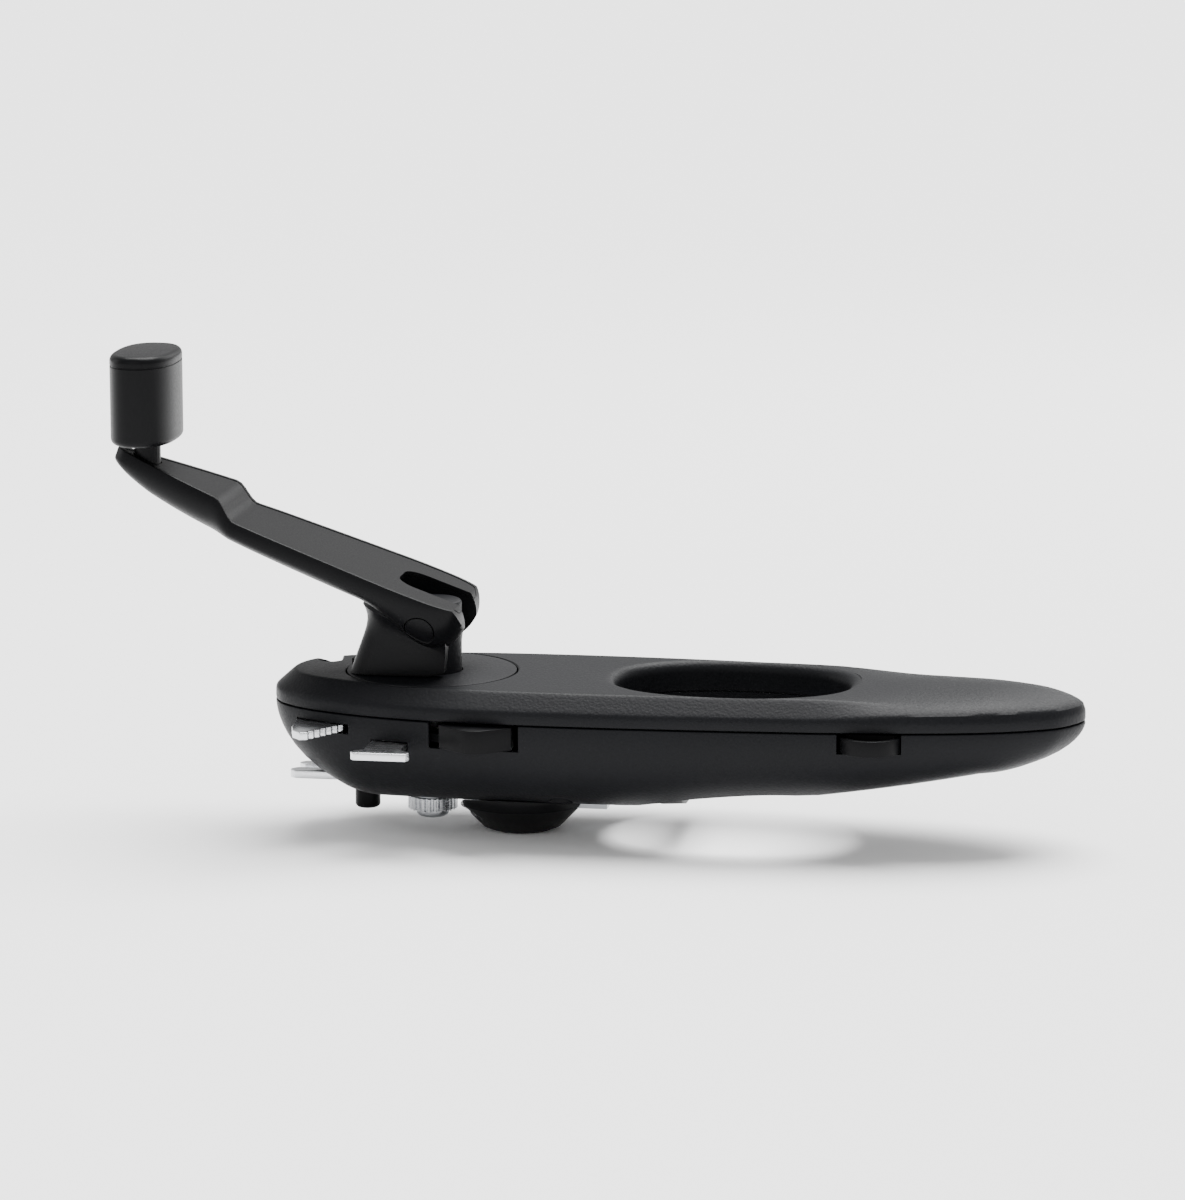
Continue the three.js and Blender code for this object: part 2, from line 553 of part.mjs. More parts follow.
piece('feed_wheel', cut(solid(prism(gear, feedLow, feedTop)), solid(rod(shaftR + fit, 0, 12))), steel);
piece('feed_washer', solid(ring(shaftR + fit, bushR, feedTop + 0.2, hullZ - 0.2, 24)), darkSteel);
piece('feed_wheel_screw', cut(solid(turned([[0, feedLow - 2], [3.4, feedLow - 2], [4.1, feedLow - 1.4], [4.1, feedLow - 0.2],
  [boreR - fit, feedLow - 0.2], [boreR - fit, feedTop + 6], [0, feedTop + 6]], 24)),
solid(box(-2.6, 2.6, -0.4, 0.4, feedLow - 3, feedLow - 1.2)),
solid(box(-0.4, 0.4, -2.6, 2.6, feedLow - 3, feedLow - 1.2))), darkSteel);

// ---- turntable and crank post ----
const ribHalf = 1.5;
const ribRise = 2.4;
piece('turntable', cut(join(
  solid(rod(tableR, pocketZ + fit, deckZ, 0, 0, 64)),
  solid(box(-tableR + 1.2, -postR - 0.4, -ribHalf, ribHalf, deckZ - 1, deckZ + ribRise)),
), solid(rod(postR + fit, 0, 60, 0, 0, 40)),
solid(box(-15.4, -11.4, -5.2, -ribHalf - 0.6, deckZ - 1.6, deckZ + 1)),
solid(box(-15.2, -11.6, ribHalf + 2, ribHalf + 2.5, deckZ - 1.2, deckZ + 1))), grained);
piece('crank_post', cut(
  solid(turned([[0, pocketZ + fit], [postR, pocketZ + fit], [postR, hingeZ + postRise - 0.8],
    [postR - 0.8, hingeZ + postRise], [0, hingeZ + postRise]], 40)),
  solid(crossRod(pinR + fit, -20, 20, 0, hingeZ)),
  solid(rod(shaftR + fit, 0, hingeZ - pinR - 0.9))), grained);
const pinEnd = armHalf - 5;
piece('hinge_pin', solid(crossRod(pinR, -pinEnd, pinEnd, 0, hingeZ)), satin);

// ---- folding crank arm, built along its own axis and then tilted up ----
const armGroup = new THREE.Group();
armGroup.position.set(0, 0, hingeZ);
armGroup.rotation.set(0, rad(armSlope), 0);
design.add(armGroup);
// In this group the arm runs towards -X and the knob stands on the +Z side.
const heelR = 10;
const collarR = hingeRise - 0.4;
const heelDeep = 6.5;
const armStations = [[0, 0], [0.003, 0.4], [0.012, 0.66], [0.035, 0.85], [0.08, 0.96], [0.179, 1], [0.302, 0.955],
  [0.497, 0.85], [0.59, 0.79], [0.692, 0.675], [0.795, 0.52], [0.897, 0.325], [0.955, 0.2], [0.985, 0.11], [1, 0]];
const armPlan = (inset) => halfPlan(inset, armStations, armLength + heelR, armHalf, -heelR, 3);
const rim = (a) => lerp(rimNear, rimFar, smooth(a, stepAt - 3.5, stepAt + 3.5));
const belly = (a) => 1.9 * Math.max(0, a / 60) ** 2 + 2.4 * Math.max(0, (a - 60) / 30) ** 2
  - heelDeep * (1 - smooth(a, -4, 18));
const armSpine = [0, armLength - 12];
function armBody(inset, up, down) {
  const side = (share) => ({
    inset: (reach) => (share === 0 ? reach : reach * (1 - share)),
    z: (px, reach, mx) => {
      const low = belly(Math.min(px, armLength)) + down;
      const edge = rim(px) - 2.6;
      return share === 1 ? edge : lerp(edge, low, (1 - share ** 2.3) ** (1 / 2.3));
    },
  });
  const top = [1, 0].map((share) => ({
    inset: (reach) => reach * share,
    z: (px) => rim(px) + up,
  }));
  return lens(armPlan(inset), ...armSpine, [...top, ...[1, 0.97, 0.88, 0.7, 0.45, 0].map(side)]);
}
const mirrorArm = (geometry) => geometry.scale(-1, 1, 1);
const faceDistance = hingeRise - fit;
const slopeSin = Math.sin(rad(armSlope));
const slopeCos = Math.cos(rad(armSlope));
// The collar's foot lies in the plane of the turntable when the crank is opened out.
const footN = (a) => -(faceDistance + slopeSin * a) / slopeCos;
const collarBack = collarClosed + collarWall;
const heel = (radius, from, to, steps = 10) => Array.from({ length: steps + 1 }, (_, i) => {
  const angle = rad(lerp(from, to, i / steps));
  return [radius * Math.cos(angle), radius * Math.sin(angle)];
});
// From the opened crank's upright plane, X away from the hinge and Z up, to the arm's own plane.
const fromUpright = (x, z) => [z * slopeSin - x * slopeCos, x * slopeSin + z * slopeCos];
const collarEnd = 5.2;
const collarTurn = THREE.MathUtils.radToDeg(Math.asin(collarEnd / collarR));
const collarSide = [[collarBack, 3], [collarBack, footN(collarBack)],
  ...heel(collarR, 270 - armSlope, 270 - armSlope - collarTurn, 6), fromUpright(collarEnd + 0.8, -3),
  [-4, rimNear - 0.5]];
const collarOuter = collarIn + collarWall;
const collarPlan = [[-20, -collarOuter], ...roundRect(-8, collarBack, -collarOuter, collarOuter, 5)
  .filter(([x]) => x > 0).sort((p, q) => p[1] - q[1]), [-20, collarOuter]];
const postSlot = [[-20, -collarIn], ...roundRect(-8, collarClosed, -collarIn, collarIn, 5)
  .filter(([x]) => x > 0).sort((p, q) => p[1] - q[1]), [-20, collarIn]];
const heelRound = solid(mirrorArm(sidePrism([...heel(heelR, -90, 90, 16).map(([x, z]) => [-x, z]),
  [0.01, 2 * heelR], [armLength + heelR, 2 * heelR], [armLength + heelR, -2 * heelR], [0.01, -2 * heelR]],
-armHalf - 5, armHalf + 5)));
const collar = solid(mirrorArm(sidePrism(collarSide, -collarOuter - 1, collarOuter + 1)))
  .intersect(solid(mirrorArm(prism(collarPlan, -40, 40))));
const armOuter = solid(mirrorArm(armBody(0, 0, 0)));
const knobFoot = new THREE.Vector3(-knobAt, 0, rimFar);
const knobTilt = (geometry) => geometry.rotateY(-rad(armSlope)).translate(knobFoot.x, 0, knobFoot.z);
const coverDown = 0.9;
const backThick = 1.5;
const backStart = collarBack + 2;
const backEnd = knobAt - studR - 3;
// A slice of the arm's plan that follows its rim, between two heights and two places along the arm.
function rimSlice(inset, low, high, from, to) {
  const lift = (height) => (px) => rim(px) + height;
  const geometry = lens(armPlan(inset), ...armSpine, [
    { inset: (reach) => reach, z: lift(high) }, { inset: () => 0, z: lift(high) },
    { inset: () => 0, z: lift(low) }, { inset: (reach) => reach, z: lift(low) }]);
  return solid(mirrorArm(geometry)).intersect(solid(box(-to, -from, -30, 30, -30, 30)));
}
const armHollow = solid(mirrorArm(armBody(armShell + 0.6, -coverDown - 0.5, armShell)))
  .intersect(solid(box(-backEnd + 1, -backStart - 1, -30, 30, -30, 30)));
const studHole = solid(knobTilt(rod(studR + fit, -12, 20, 0, 0, 24)));
const studFoot = -5;
const gripLength = 52;
const gripHalf = 12.6;
const gripStart = 15.5;
const gripStations = [[0, 0], [0.008, 0.55], [0.05, 0.93], [0.13, 1], [0.35, 0.95], [0.6, 0.78], [0.8, 0.53],
  [0.93, 0.27], [1, 0]];
const gripPlan = (inset) => halfPlan(inset, gripStations, gripLength, gripHalf, gripStart, 3);
const gripPrism = (inset) => {
  const half = gripPlan(inset);
  return mirrorArm(prism([...half, ...half.slice(1, -1).reverse().map(([x, y]) => [x, -y])], -12, 6));
};
const gripDeep = 1;
const armLifted = solid(mirrorArm(armBody(0, 0, 0)).translate(0, 0, gripDeep));
const capR = 3.7;
const slotHalf = 2;
piece('crank_arm', cut(
  join(cut(armOuter.intersect(heelRound), armHollow), collar),
  rimSlice(armShell, -coverDown, 2, backStart, armLength),
  rimSlice(armShell, -coverDown - backThick - fit, 2, backStart, backEnd),
  solid(mirrorArm(prism(postSlot, -40, 40))),
  solid(box(-backStart - 5, -9, -slotHalf, slotHalf, -30, 1.2)),
  solid(crossRod(pinR + running, -pinEnd - 0.4, pinEnd + 0.4, 0, 0)),
  solid(crossRod(capR + fit, -armHalf - 5, -pinEnd + 0.2, 0, 0)),
  cut(solid(gripPrism(0)), armLifted),
  cut(studHole, solid(knobTilt(box(-20, 20, -20, 20, -40, studFoot - fit)))),
), satin, armGroup);
piece('arm_back_plate', rimSlice(armShell + fit, -coverDown - backThick, -coverDown, backStart + fit, backEnd - fit),
  satin, armGroup);
const armSkin = solid(mirrorArm(armBody(0.02, 0, 0.02)));
const armSkinDeep = solid(mirrorArm(armBody(0, 0, 0)).translate(0, 0, gripDeep - fit));
piece('arm_grip_panel', cut(armSkin.intersect(solid(gripPrism(fit))), armSkinDeep), softTouch, armGroup);
piece('pin_cap', cut(solid(crossRod(capR, -armHalf - 3, -pinEnd - 0.3, 0, 0)).intersect(armOuter)), satin, armGroup);

// ---- knob on its stud ----
const knobGroup = new THREE.Group();
knobGroup.position.copy(knobFoot);
knobGroup.rotation.y = -rad(armSlope);
armGroup.add(knobGroup);
const studDeep = 14;
piece('knob_stud', solid(turned([[0, studFoot], [studR, studFoot], [studR, knobGap + studDeep - 0.6],
  [studR - 0.6, knobGap + studDeep], [0, knobGap + studDeep]], 24)), steel, knobGroup);
const knobPlan = Array.from({ length: 40 }, (_, i) => {
  const angle = (2 * Math.PI * i) / 40;
  const [c, s] = [Math.cos(angle), Math.sin(angle)];
  return [(knobShort / 2) * Math.sign(c) * Math.abs(c) ** 0.8, (knobLong / 2) * Math.sign(s) * Math.abs(s) ** 0.8];
});
piece('knob', cut(solid(prism(knobPlan, knobGap, knobGap + knobTall, 1.6)),
  solid(rod(studR + running, 0, knobGap + studDeep + 0.6))), satin, knobGroup);

export default opener;
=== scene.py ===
import json
import math

import bpy
import bmesh
import numpy as np
from mathutils import Matrix, Vector


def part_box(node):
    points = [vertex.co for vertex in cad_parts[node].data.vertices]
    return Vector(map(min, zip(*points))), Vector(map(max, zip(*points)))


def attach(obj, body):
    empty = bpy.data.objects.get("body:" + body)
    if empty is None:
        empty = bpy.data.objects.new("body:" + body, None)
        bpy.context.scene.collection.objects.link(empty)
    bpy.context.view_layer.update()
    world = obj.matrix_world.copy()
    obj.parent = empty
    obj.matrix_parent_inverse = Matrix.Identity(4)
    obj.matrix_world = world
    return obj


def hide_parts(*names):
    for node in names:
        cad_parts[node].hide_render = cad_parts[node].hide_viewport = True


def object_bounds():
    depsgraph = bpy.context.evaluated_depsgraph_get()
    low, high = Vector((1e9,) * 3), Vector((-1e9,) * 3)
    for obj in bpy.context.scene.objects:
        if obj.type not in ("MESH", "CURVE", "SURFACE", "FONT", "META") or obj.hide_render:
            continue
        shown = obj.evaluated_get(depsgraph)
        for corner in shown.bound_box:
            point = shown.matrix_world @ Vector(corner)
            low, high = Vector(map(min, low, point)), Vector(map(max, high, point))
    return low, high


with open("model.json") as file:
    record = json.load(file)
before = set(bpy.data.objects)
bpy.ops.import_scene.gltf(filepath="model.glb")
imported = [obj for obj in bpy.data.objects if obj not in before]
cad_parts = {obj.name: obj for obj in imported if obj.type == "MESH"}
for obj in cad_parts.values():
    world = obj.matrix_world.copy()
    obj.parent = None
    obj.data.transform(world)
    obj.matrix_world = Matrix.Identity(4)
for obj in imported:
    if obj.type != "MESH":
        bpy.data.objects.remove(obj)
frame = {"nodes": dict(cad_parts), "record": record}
cad_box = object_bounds()

# ---- Studio ----
# A pale floor at the height that the opener stands on, a white surround, three soft lamps and a
# broad sky light. The camera looks along the hull from its blade side, a little above the deck.
MM = 0.001
VIEW_AZIMUTH = math.radians(9)
VIEW_ELEVATION = math.radians(11)
VIEW_DISTANCE = 1.25
LENS_MM = 150
SKY_ENERGY, SKY_ANGLE, SURROUND_STRENGTH = 8.5, math.radians(50), 0.7
FLOOR_REACH = 6
FLOOR_COLOR = (0.96, 0.96, 0.96, 1)
middle = (Vector(cad_box[0]) + Vector(cad_box[1])) / 2


def aim(thing, target):
    thing.rotation_euler = (Vector(target) - thing.location).to_track_quat("-Z", "Y").to_euler()


lens = bpy.data.cameras.new("camera")
lens.lens = LENS_MM
lens.sensor_width = 36
lens.clip_start = 0.01
camera = bpy.data.objects.new("camera", lens)
bpy.context.scene.collection.objects.link(camera)
toward = Vector((math.sin(VIEW_AZIMUTH) * math.cos(VIEW_ELEVATION),
                 -math.cos(VIEW_AZIMUTH) * math.cos(VIEW_ELEVATION), math.sin(VIEW_ELEVATION)))
camera.location = middle + toward * VIEW_DISTANCE
aim(camera, middle)
bpy.context.scene.camera = camera

for lamp_name, place, size, watts in (
    ("lamp_front", (-0.25, -0.95, 0.6), 0.5, 1.3),
    ("lamp_left", (-0.8, 0.1, 0.35), 0.4, 1.2),
    ("lamp_back", (0.35, 0.8, 0.5), 0.5, 2.2),
):
    lamp = bpy.data.lights.new(lamp_name, "AREA")
    lamp.size = size
    lamp.energy = watts
    holder = bpy.data.objects.new(lamp_name, lamp)
    holder.location = place
    aim(holder, middle)
    bpy.context.scene.collection.objects.link(holder)
skylight = bpy.data.lights.new("skylight", "SUN")
skylight.angle = SKY_ANGLE
skylight.energy = SKY_ENERGY
holder = bpy.data.objects.new("skylight", skylight)
holder.location = (0.1, 0.35, 1)
aim(holder, middle)
bpy.context.scene.collection.objects.link(holder)

world = bpy.data.worlds.new("surround")
world.use_nodes = True
world.node_tree.nodes["Background"].inputs["Color"].default_value = (1, 1, 1, 1)
world.node_tree.nodes["Background"].inputs["Strength"].default_value = SURROUND_STRENGTH
bpy.context.scene.world = world

floor_mesh = bpy.data.meshes.new("floor")
corners = ((-1, -1), (1, -1), (1, 1), (-1, 1))
floor_mesh.from_pydata([(FLOOR_REACH * i, FLOOR_REACH * j, 0) for i, j in corners], [], [(0, 1, 2, 3)])
floor = bpy.data.objects.new("floor", floor_mesh)
bpy.context.scene.collection.objects.link(floor)
paper = bpy.data.materials.new("paper")
paper.use_nodes = True
paper.node_tree.nodes["Principled BSDF"].inputs["Base Color"].default_value = FLOOR_COLOR
paper.node_tree.nodes["Principled BSDF"].inputs["Roughness"].default_value = 0.9
floor_mesh.materials.append(paper)

# ---- Top cover ----
# The moulded upper shell: a flat deck with a bevelled edge that turns into the handle's crown.
# It is grained black plastic. The oval opening, the hook's notch and the turntable's seat are cut in.
shaft_low, shaft_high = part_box("drive_shaft")
crank_x = (shaft_low.x + shaft_high.x) / 2


def span(node):
    """A node's box in millimetres, with X = 0 on the crank's axis."""
    low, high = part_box(node)
    shift = Vector((crank_x, 0, 0))
    return (low - shift) / MM, (high - shift) / MM


def build(name, points, faces):
    """A piece from points in millimetres, with X = 0 on the crank's axis."""
    mesh = bpy.data.meshes.new(name)
    mesh.from_pydata([(x * MM + crank_x, y * MM, z * MM) for x, y, z in points], [], faces)
    piece = bpy.data.objects.new(name, mesh)
    bpy.context.scene.collection.objects.link(piece)
    return face_out(piece)


def face_out(piece):
    """Merges a piece's doubled points and turns all its faces outwards."""
    work = bmesh.new()
    work.from_mesh(piece.data)
    bmesh.ops.remove_doubles(work, verts=work.verts, dist=1e-7)
    if work.calc_volume(signed=True) < 0:
        bmesh.ops.reverse_faces(work, faces=work.faces)
    work.to_mesh(piece.data)
    work.free()
    return piece


def closed_curve(knots, per_span):
    """Points and directions along half of a closed centripetal curve through mirrored knots."""
    upper = [np.array(k, float) for k in knots]
    loop = upper + [np.array((x, -y)) for x, y in upper[-2:0:-1]]
    count = len(loop)
    points, directions = [], []
    for i in range(len(upper) - 1):
        p0, p1, p2, p3 = (loop[(i + k) % count] for k in (-1, 0, 1, 2))
        d0, d1, d2 = (np.linalg.norm(b - a) ** 0.5 for a, b in ((p0, p1), (p1, p2), (p2, p3)))
        t1 = ((p1 - p0) / d0 - (p2 - p0) / (d0 + d1) + (p2 - p1) / d1) * d1
        t2 = ((p2 - p1) / d1 - (p3 - p1) / (d1 + d2) + (p3 - p2) / d2) * d1
        a2, a3 = 3 * (p2 - p1) - 2 * t1 - t2, 2 * (p1 - p2) + t1 + t2
        for k in range(per_span):
            t = k / per_span
            points.append(p1 + t1 * t + a2 * t * t + a3 * t ** 3)
            directions.append(t1 + 2 * a2 * t + 3 * a3 * t * t)
    points.append(upper[-1])
    directions.append(np.array((0, -1.0)))
    directions[0] = np.array((0, 1.0))
    return points, [d / np.linalg.norm(d) for d in directions]


def plan(stations, start, length, half, inset=0.0, per_span=8):
    """Half of a symmetric plan outline, set in by some distance."""
    points, directions = closed_curve([(start + length * u, half * f) for u, f in stations], per_span)
    half_outline = [(p[0] + d[1] * inset, max(p[1] - d[0] * inset, 0.02))
                    for p, d in zip(points, directions)]
    half_outline[0] = (start + inset, 0)
    half_outline[-1] = (start + length - inset, 0)
    return half_outline


def pillow(name, half_outline, spine, levels):
    """A closed body of rings. Each level is (way in from the outline, height), both functions."""
    loop = half_outline + [(x, -y) for x, y in half_outline[-2:0:-1]]
    points = []
    for inward_at, height_at in levels:
        for x, y in loop:
            mx = min(max(x, spine[0]), spine[1])
            reach_here = math.hypot(x - mx, y)
            share = min(inward_at(reach_here), reach_here) / reach_here
            px = x + (mx - x) * share
            py = 0.0 if share > 0.9999 else y * (1 - share)
            points.append((px, py, height_at(px, reach_here, mx, x)))
    n = len(loop)
    faces = []
    for k in range(len(levels) - 1):
        for i in range(n):
            j = (i + 1) % n
            faces.append((k * n + i, k * n + j, (k + 1) * n + j, (k + 1) * n + i))
    return build(name, points, faces)


def slab(name, outline, low, high):
    """A prism on a plan outline."""
    n = len(outline)
    points = [(x, y, low) for x, y in outline] + [(x, y, high) for x, y in outline]
    faces = [tuple(range(n - 1, -1, -1)), tuple(range(n, 2 * n))]
    faces += [(i, (i + 1) % n, n + (i + 1) % n, n + i) for i in range(n)]
    return build(name, points, faces)


def stack(name, rings):
    """A closed body from rings of equal count, capped at both ends."""
    n = len(rings[0])
    points = [p for ring in rings for p in ring]
    faces = [tuple(range(n - 1, -1, -1)), tuple(range(len(points) - n, len(points)))]
    for k in range(len(rings) - 1):
        faces += [(k * n + i, k * n + (i + 1) % n, (k + 1) * n + (i + 1) % n, (k + 1) * n + i)
                  for i in range(n)]
    return build(name, points, faces)


def circle(r, x=0.0, y=0.0, steps=96):
    return [(x + r * math.cos(2 * math.pi * i / steps), y + r * math.sin(2 * math.pi * i / steps))
            for i in range(steps)]


def turned(name, profile, x=0.0, y=0.0, steps=96):
    """A round body about an upright axis, from a profile of (radius, height)."""
    return stack(name, [[(px, py, z) for px, py in circle(max(r, 0.001), x, y, steps)] for r, z in profile])


def block(name, x0, x1, y0, y1, z0, z1):
    return slab(name, [(x0, y0), (x1, y0), (x1, y1), (x0, y1)], z0, z1)


def carve(piece, *tools, operation="DIFFERENCE"):
    """Cuts tools from a piece, or joins them to it, and removes them."""
    for tool in tools:
        step = piece.modifiers.new("step", "BOOLEAN")
        step.operation = operation
        step.object = tool
        step.solver = "MANIFOLD"
    shape = bpy.data.meshes.new_from_object(piece.evaluated_get(bpy.context.evaluated_depsgraph_get()))
    piece.modifiers.clear()
    piece.data = shape
    for tool in tools:
        bpy.data.objects.remove(tool)
    return piece


CREASE_ANGLE = math.radians(32)


def settle(piece, material, body, slot, *nodes):
    """Finishes a piece: its material, its shading, its body and what it stands for. Its slot argument is not
    used.
    """
    mesh = piece.data
    mesh.materials.clear()
    mesh.materials.append(material)
    mesh.polygons.foreach_set("material_index", [0] * len(mesh.polygons))
    mesh.shade_smooth()
    mesh.set_sharp_from_angle(angle=CREASE_ANGLE)
    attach(piece, body)
    if nodes:
        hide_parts(*nodes)
    return piece


class Wire:
    """A shader socket whose operators add Math nodes."""

    def __init__(self, tree, socket):
        self.tree = tree
        self.socket = socket

    def _maths(self, operation, first, second):
        return self.add("ShaderNodeMath", {"operation": operation}, {0: first, 1: second})

    def __add__(self, other):
        return self._maths("ADD", self, other)

    def __sub__(self, other):
        return self._maths("SUBTRACT", self, other)

    def __rsub__(self, other):
        return self._maths("SUBTRACT", other, self)

    def __mul__(self, other):
        return self._maths("MULTIPLY", self, other)

    __radd__ = __add__
    __rmul__ = __mul__

    def add(self, kind, settings, values, output=0):
        """A node of any kind: its settings first, then its sockets' values or links."""
        node = self.tree.nodes.new(kind)
        for key, value in settings.items():
            setattr(node, key, value)
        for key, value in values.items():
            if isinstance(value, Wire):
                self.tree.links.new(value.socket, node.inputs[key])
            else:
                node.inputs[key].default_value = value
        return Wire(self.tree, node.outputs[output])


def blank(name, **fixed):
    """A material with its Principled sockets set, and a Wire on the piece's own coordinates."""
    material = bpy.data.materials.new(name)
    material.use_nodes = True
    tree = material.node_tree
    shader = tree.nodes["Principled BSDF"]
    for key, value in fixed.items():
        shader.inputs[key.replace("_", " ")].default_value = value
    place = Wire(tree, tree.nodes.new("ShaderNodeTexCoord").outputs["Object"])
    return material, shader, place


def feed(place, shader, **links):
    for key, wire in links.items():
        place.tree.links.new(wire.socket, shader.inputs[key.replace("_", " ")])


CLOUD_MM = 22


def moulded(name, dark, light, rough, grain_mm, grain_depth, gloss):
    """Black moulded plastic: a fine eroded grain, faint clouding and small changes of sheen."""
    material, shader, place = blank(name, Specular_IOR_Level=gloss)
    fine = place.add("ShaderNodeTexNoise", {},
                     {"Vector": place, "Scale": 1 / (grain_mm * MM), "Detail": 3.0, "Roughness": 0.6})
    pits = place.add("ShaderNodeTexVoronoi", {"feature": "SMOOTH_F1"},
                     {"Vector": place, "Scale": 0.8 / (grain_mm * MM), "Smoothness": 0.6})
    cloud = place.add("ShaderNodeTexNoise", {},
                      {"Vector": place, "Scale": 1 / (CLOUD_MM * MM), "Detail": 2.0})
    relief = fine * 0.7 + pits * 0.6
    tone = place.add("ShaderNodeMix", {"data_type": "RGBA"},
                     {0: fine * 0.7 + cloud * 0.3, 6: (*dark, 1), 7: (*light, 1)}, output=2)
    sheen = (fine - 0.5) * 0.3 + (cloud - 0.5) * 0.12 + rough
    bump = place.add("ShaderNodeBump", {},
                     {"Height": relief, "Strength": 0.6, "Distance": grain_depth * MM})
    feed(place, shader, Base_Color=tone, Roughness=sheen, Normal=bump)
    return material


grained_black = moulded("grained_black_plastic", (0.0022, 0.0023, 0.0028), (0.0085, 0.009, 0.0108),
                        rough=0.46, grain_mm=0.6, grain_depth=0.1, gloss=0.1)

# Share of the body's length from the nose, and share of its half width, as a boat's lines.
BODY_LINES = ((0, 0), (0.013, 0.34), (0.042, 0.55), (0.086, 0.715), (0.145, 0.85), (0.218, 0.95),
              (0.346, 1), (0.554, 0.96), (0.77, 0.837), (0.888, 0.668), (0.946, 0.497), (0.976, 0.348), (1, 0))
NOSE_RUN, TAIL_RUN = 28, 25
BEVEL_WIDTH, BEVEL_RISE, DOME_RISE, RAMP_CORNER = 5, 4.5, 5.2, 0.07
WALL, GAP = 2.4, 0.3
RIB_WALL = 2.2
SHAFT_HOLE_R = 5.5
# The wall round the hook's notch, as X from and to, and the Y where it starts.
NOTCH_WALL = (-33.2, -23.2, 3)
cover_low, cover_high = span("top_cover")
nose, tail = cover_low.x, cover_high.x
parting = cover_low.z
POST_SUNK = 3.0
deck = span("crank_post")[0].z + POST_SUNK
shoulder = deck - BEVEL_RISE
body_spine = (nose + NOSE_RUN, tail - TAIL_RUN)
# The opening's X from and to, its half width, how square its oval is, and the flare at its rim.
OPENING, OVAL_POWER, OPENING_FLARE = (47.5, 106.0, 20.5), 0.87, 3.0
# The deck turns into the handle's dome between these two X.
DOME_BLEND = (OPENING[1] - 8, OPENING[1] + 20)


def body_plan(inset=0.0, per_span=8):
    return plan(BODY_LINES, nose, tail - nose, cover_high.y, inset, per_span)


def ease(x, a, b):
    t = min(max((x - a) / (b - a), 0), 1)
    return t * t * (3 - 2 * t)


def soft_ramp(t):
    """Rises to 1 and stays there, with a rounded corner."""
    return 0.5 * (t + 1 - math.sqrt((t - 1) ** 2 + RAMP_CORNER * RAMP_CORNER))


def crown(inward, reach_here, mx, down=0.0):
    flat = shoulder + BEVEL_RISE * soft_ramp(inward / BEVEL_WIDTH)
    share = min(inward / reach_here, 1)
    dome = shoulder + DOME_RISE * math.sqrt(1 - (1 - share) ** 2)
    return flat + (dome - flat) * ease(mx, *DOME_BLEND) - down


def crown_levels(down=0.0):
    shares = (1, 0.9, 0.8, 0.7, 0.6, 0.5, 0.4)
    levels = [(lambda r, s=s: r * s, lambda px, r, mx, x, s=s: crown(r * s, r, mx, down)) for s in shares]
    for d in (6.6, 5.7, 5.3, 5.0, 4.7, 4.2, 3.2, 2.2, 1.3, 0.6):
        levels.append((lambda r, d=d: d, lambda px, r, mx, x, d=d: crown(min(d, r), r, mx, down)))
    return levels


def level(inset, z):
    return (lambda r: inset), (lambda px, r, mx, x: z)


def lid(z):
    return (lambda r: r), (lambda px, r, mx, x: z)


def oval(grow):
    """The opening's outline, grown by some distance."""
    middle_x = (OPENING[0] + OPENING[1]) / 2
    half_x, half_y = (OPENING[1] - OPENING[0]) / 2 + grow, OPENING[2] + grow
    return [(middle_x + half_x * math.copysign(abs(c) ** OVAL_POWER, c),
             half_y * math.copysign(abs(s) ** OVAL_POWER, s)) for c, s in circle(1, steps=120)]


def opening_tool():
    """The opening's cutter, with a rounded flare where it meets the deck."""
    rings = [[(x, y, 0) for x, y in oval(0)]]
    for i in range(9):
        turn = math.radians(90 * i / 8)
        height = deck - OPENING_FLARE * (1 - math.sin(turn))
        rings.append([(x, y, height) for x, y in oval(OPENING_FLARE * (1 - math.cos(turn)))])
    rings.append([(x, y, deck + 9) for x, y in oval(OPENING_FLARE + 0.05)])
    return stack("opening_tool", rings)


NOTCH = ((-27.6, 30), (-26.2, 15), (-25.4, 9.8), (-25.7, 6.9), (-27.4, 5.4), (-29.6, 5.9), (-30.9, 8.2),
         (-30.6, 11), (-29.2, 14), (-28.8, 16.2), (-29.6, 19), (-33, 30))
NOTCH_MIDDLE, NOTCH_HALF = (-28.1, 8.5), (2.6, 9)


def rounded(knots):
    """An open smooth line through knots."""
    steps = 6
    p = [np.array(k, float) for k in knots]
    p = [2 * p[0] - p[1]] + p + [2 * p[-1] - p[-2]]
    line = []
    for i in range(1, len(p) - 2):
        for k in range(steps):
            t = k / steps
            line.append(tuple(0.5 * (2 * p[i] + (p[i + 1] - p[i - 1]) * t
                                     + (2 * p[i - 1] - 5 * p[i] + 4 * p[i + 1] - p[i + 2]) * t * t
                                     + (3 * p[i] - p[i - 1] - 3 * p[i + 1] + p[i + 2]) * t ** 3)))
    line.append(tuple(p[-2]))
    return line


def notch_tool():
    """The hook's notch, opened out a little at the deck to leave a bevel on its rim."""
    rings = []
    for z, amount in ((0, 0), (deck - 1.2, 0), (deck - 0.5, 0.25), (deck + 0.4, 0.95), (deck + 8, 0.95)):
        wide, deep = (1 + amount / half for half in NOTCH_HALF)
        rings.append([(NOTCH_MIDDLE[0] + (x - NOTCH_MIDDLE[0]) * wide,
                       NOTCH_MIDDLE[1] + (y - NOTCH_MIDDLE[1]) * deep, z) for x, y in rounded(NOTCH)])
    return stack("notch_tool", rings)


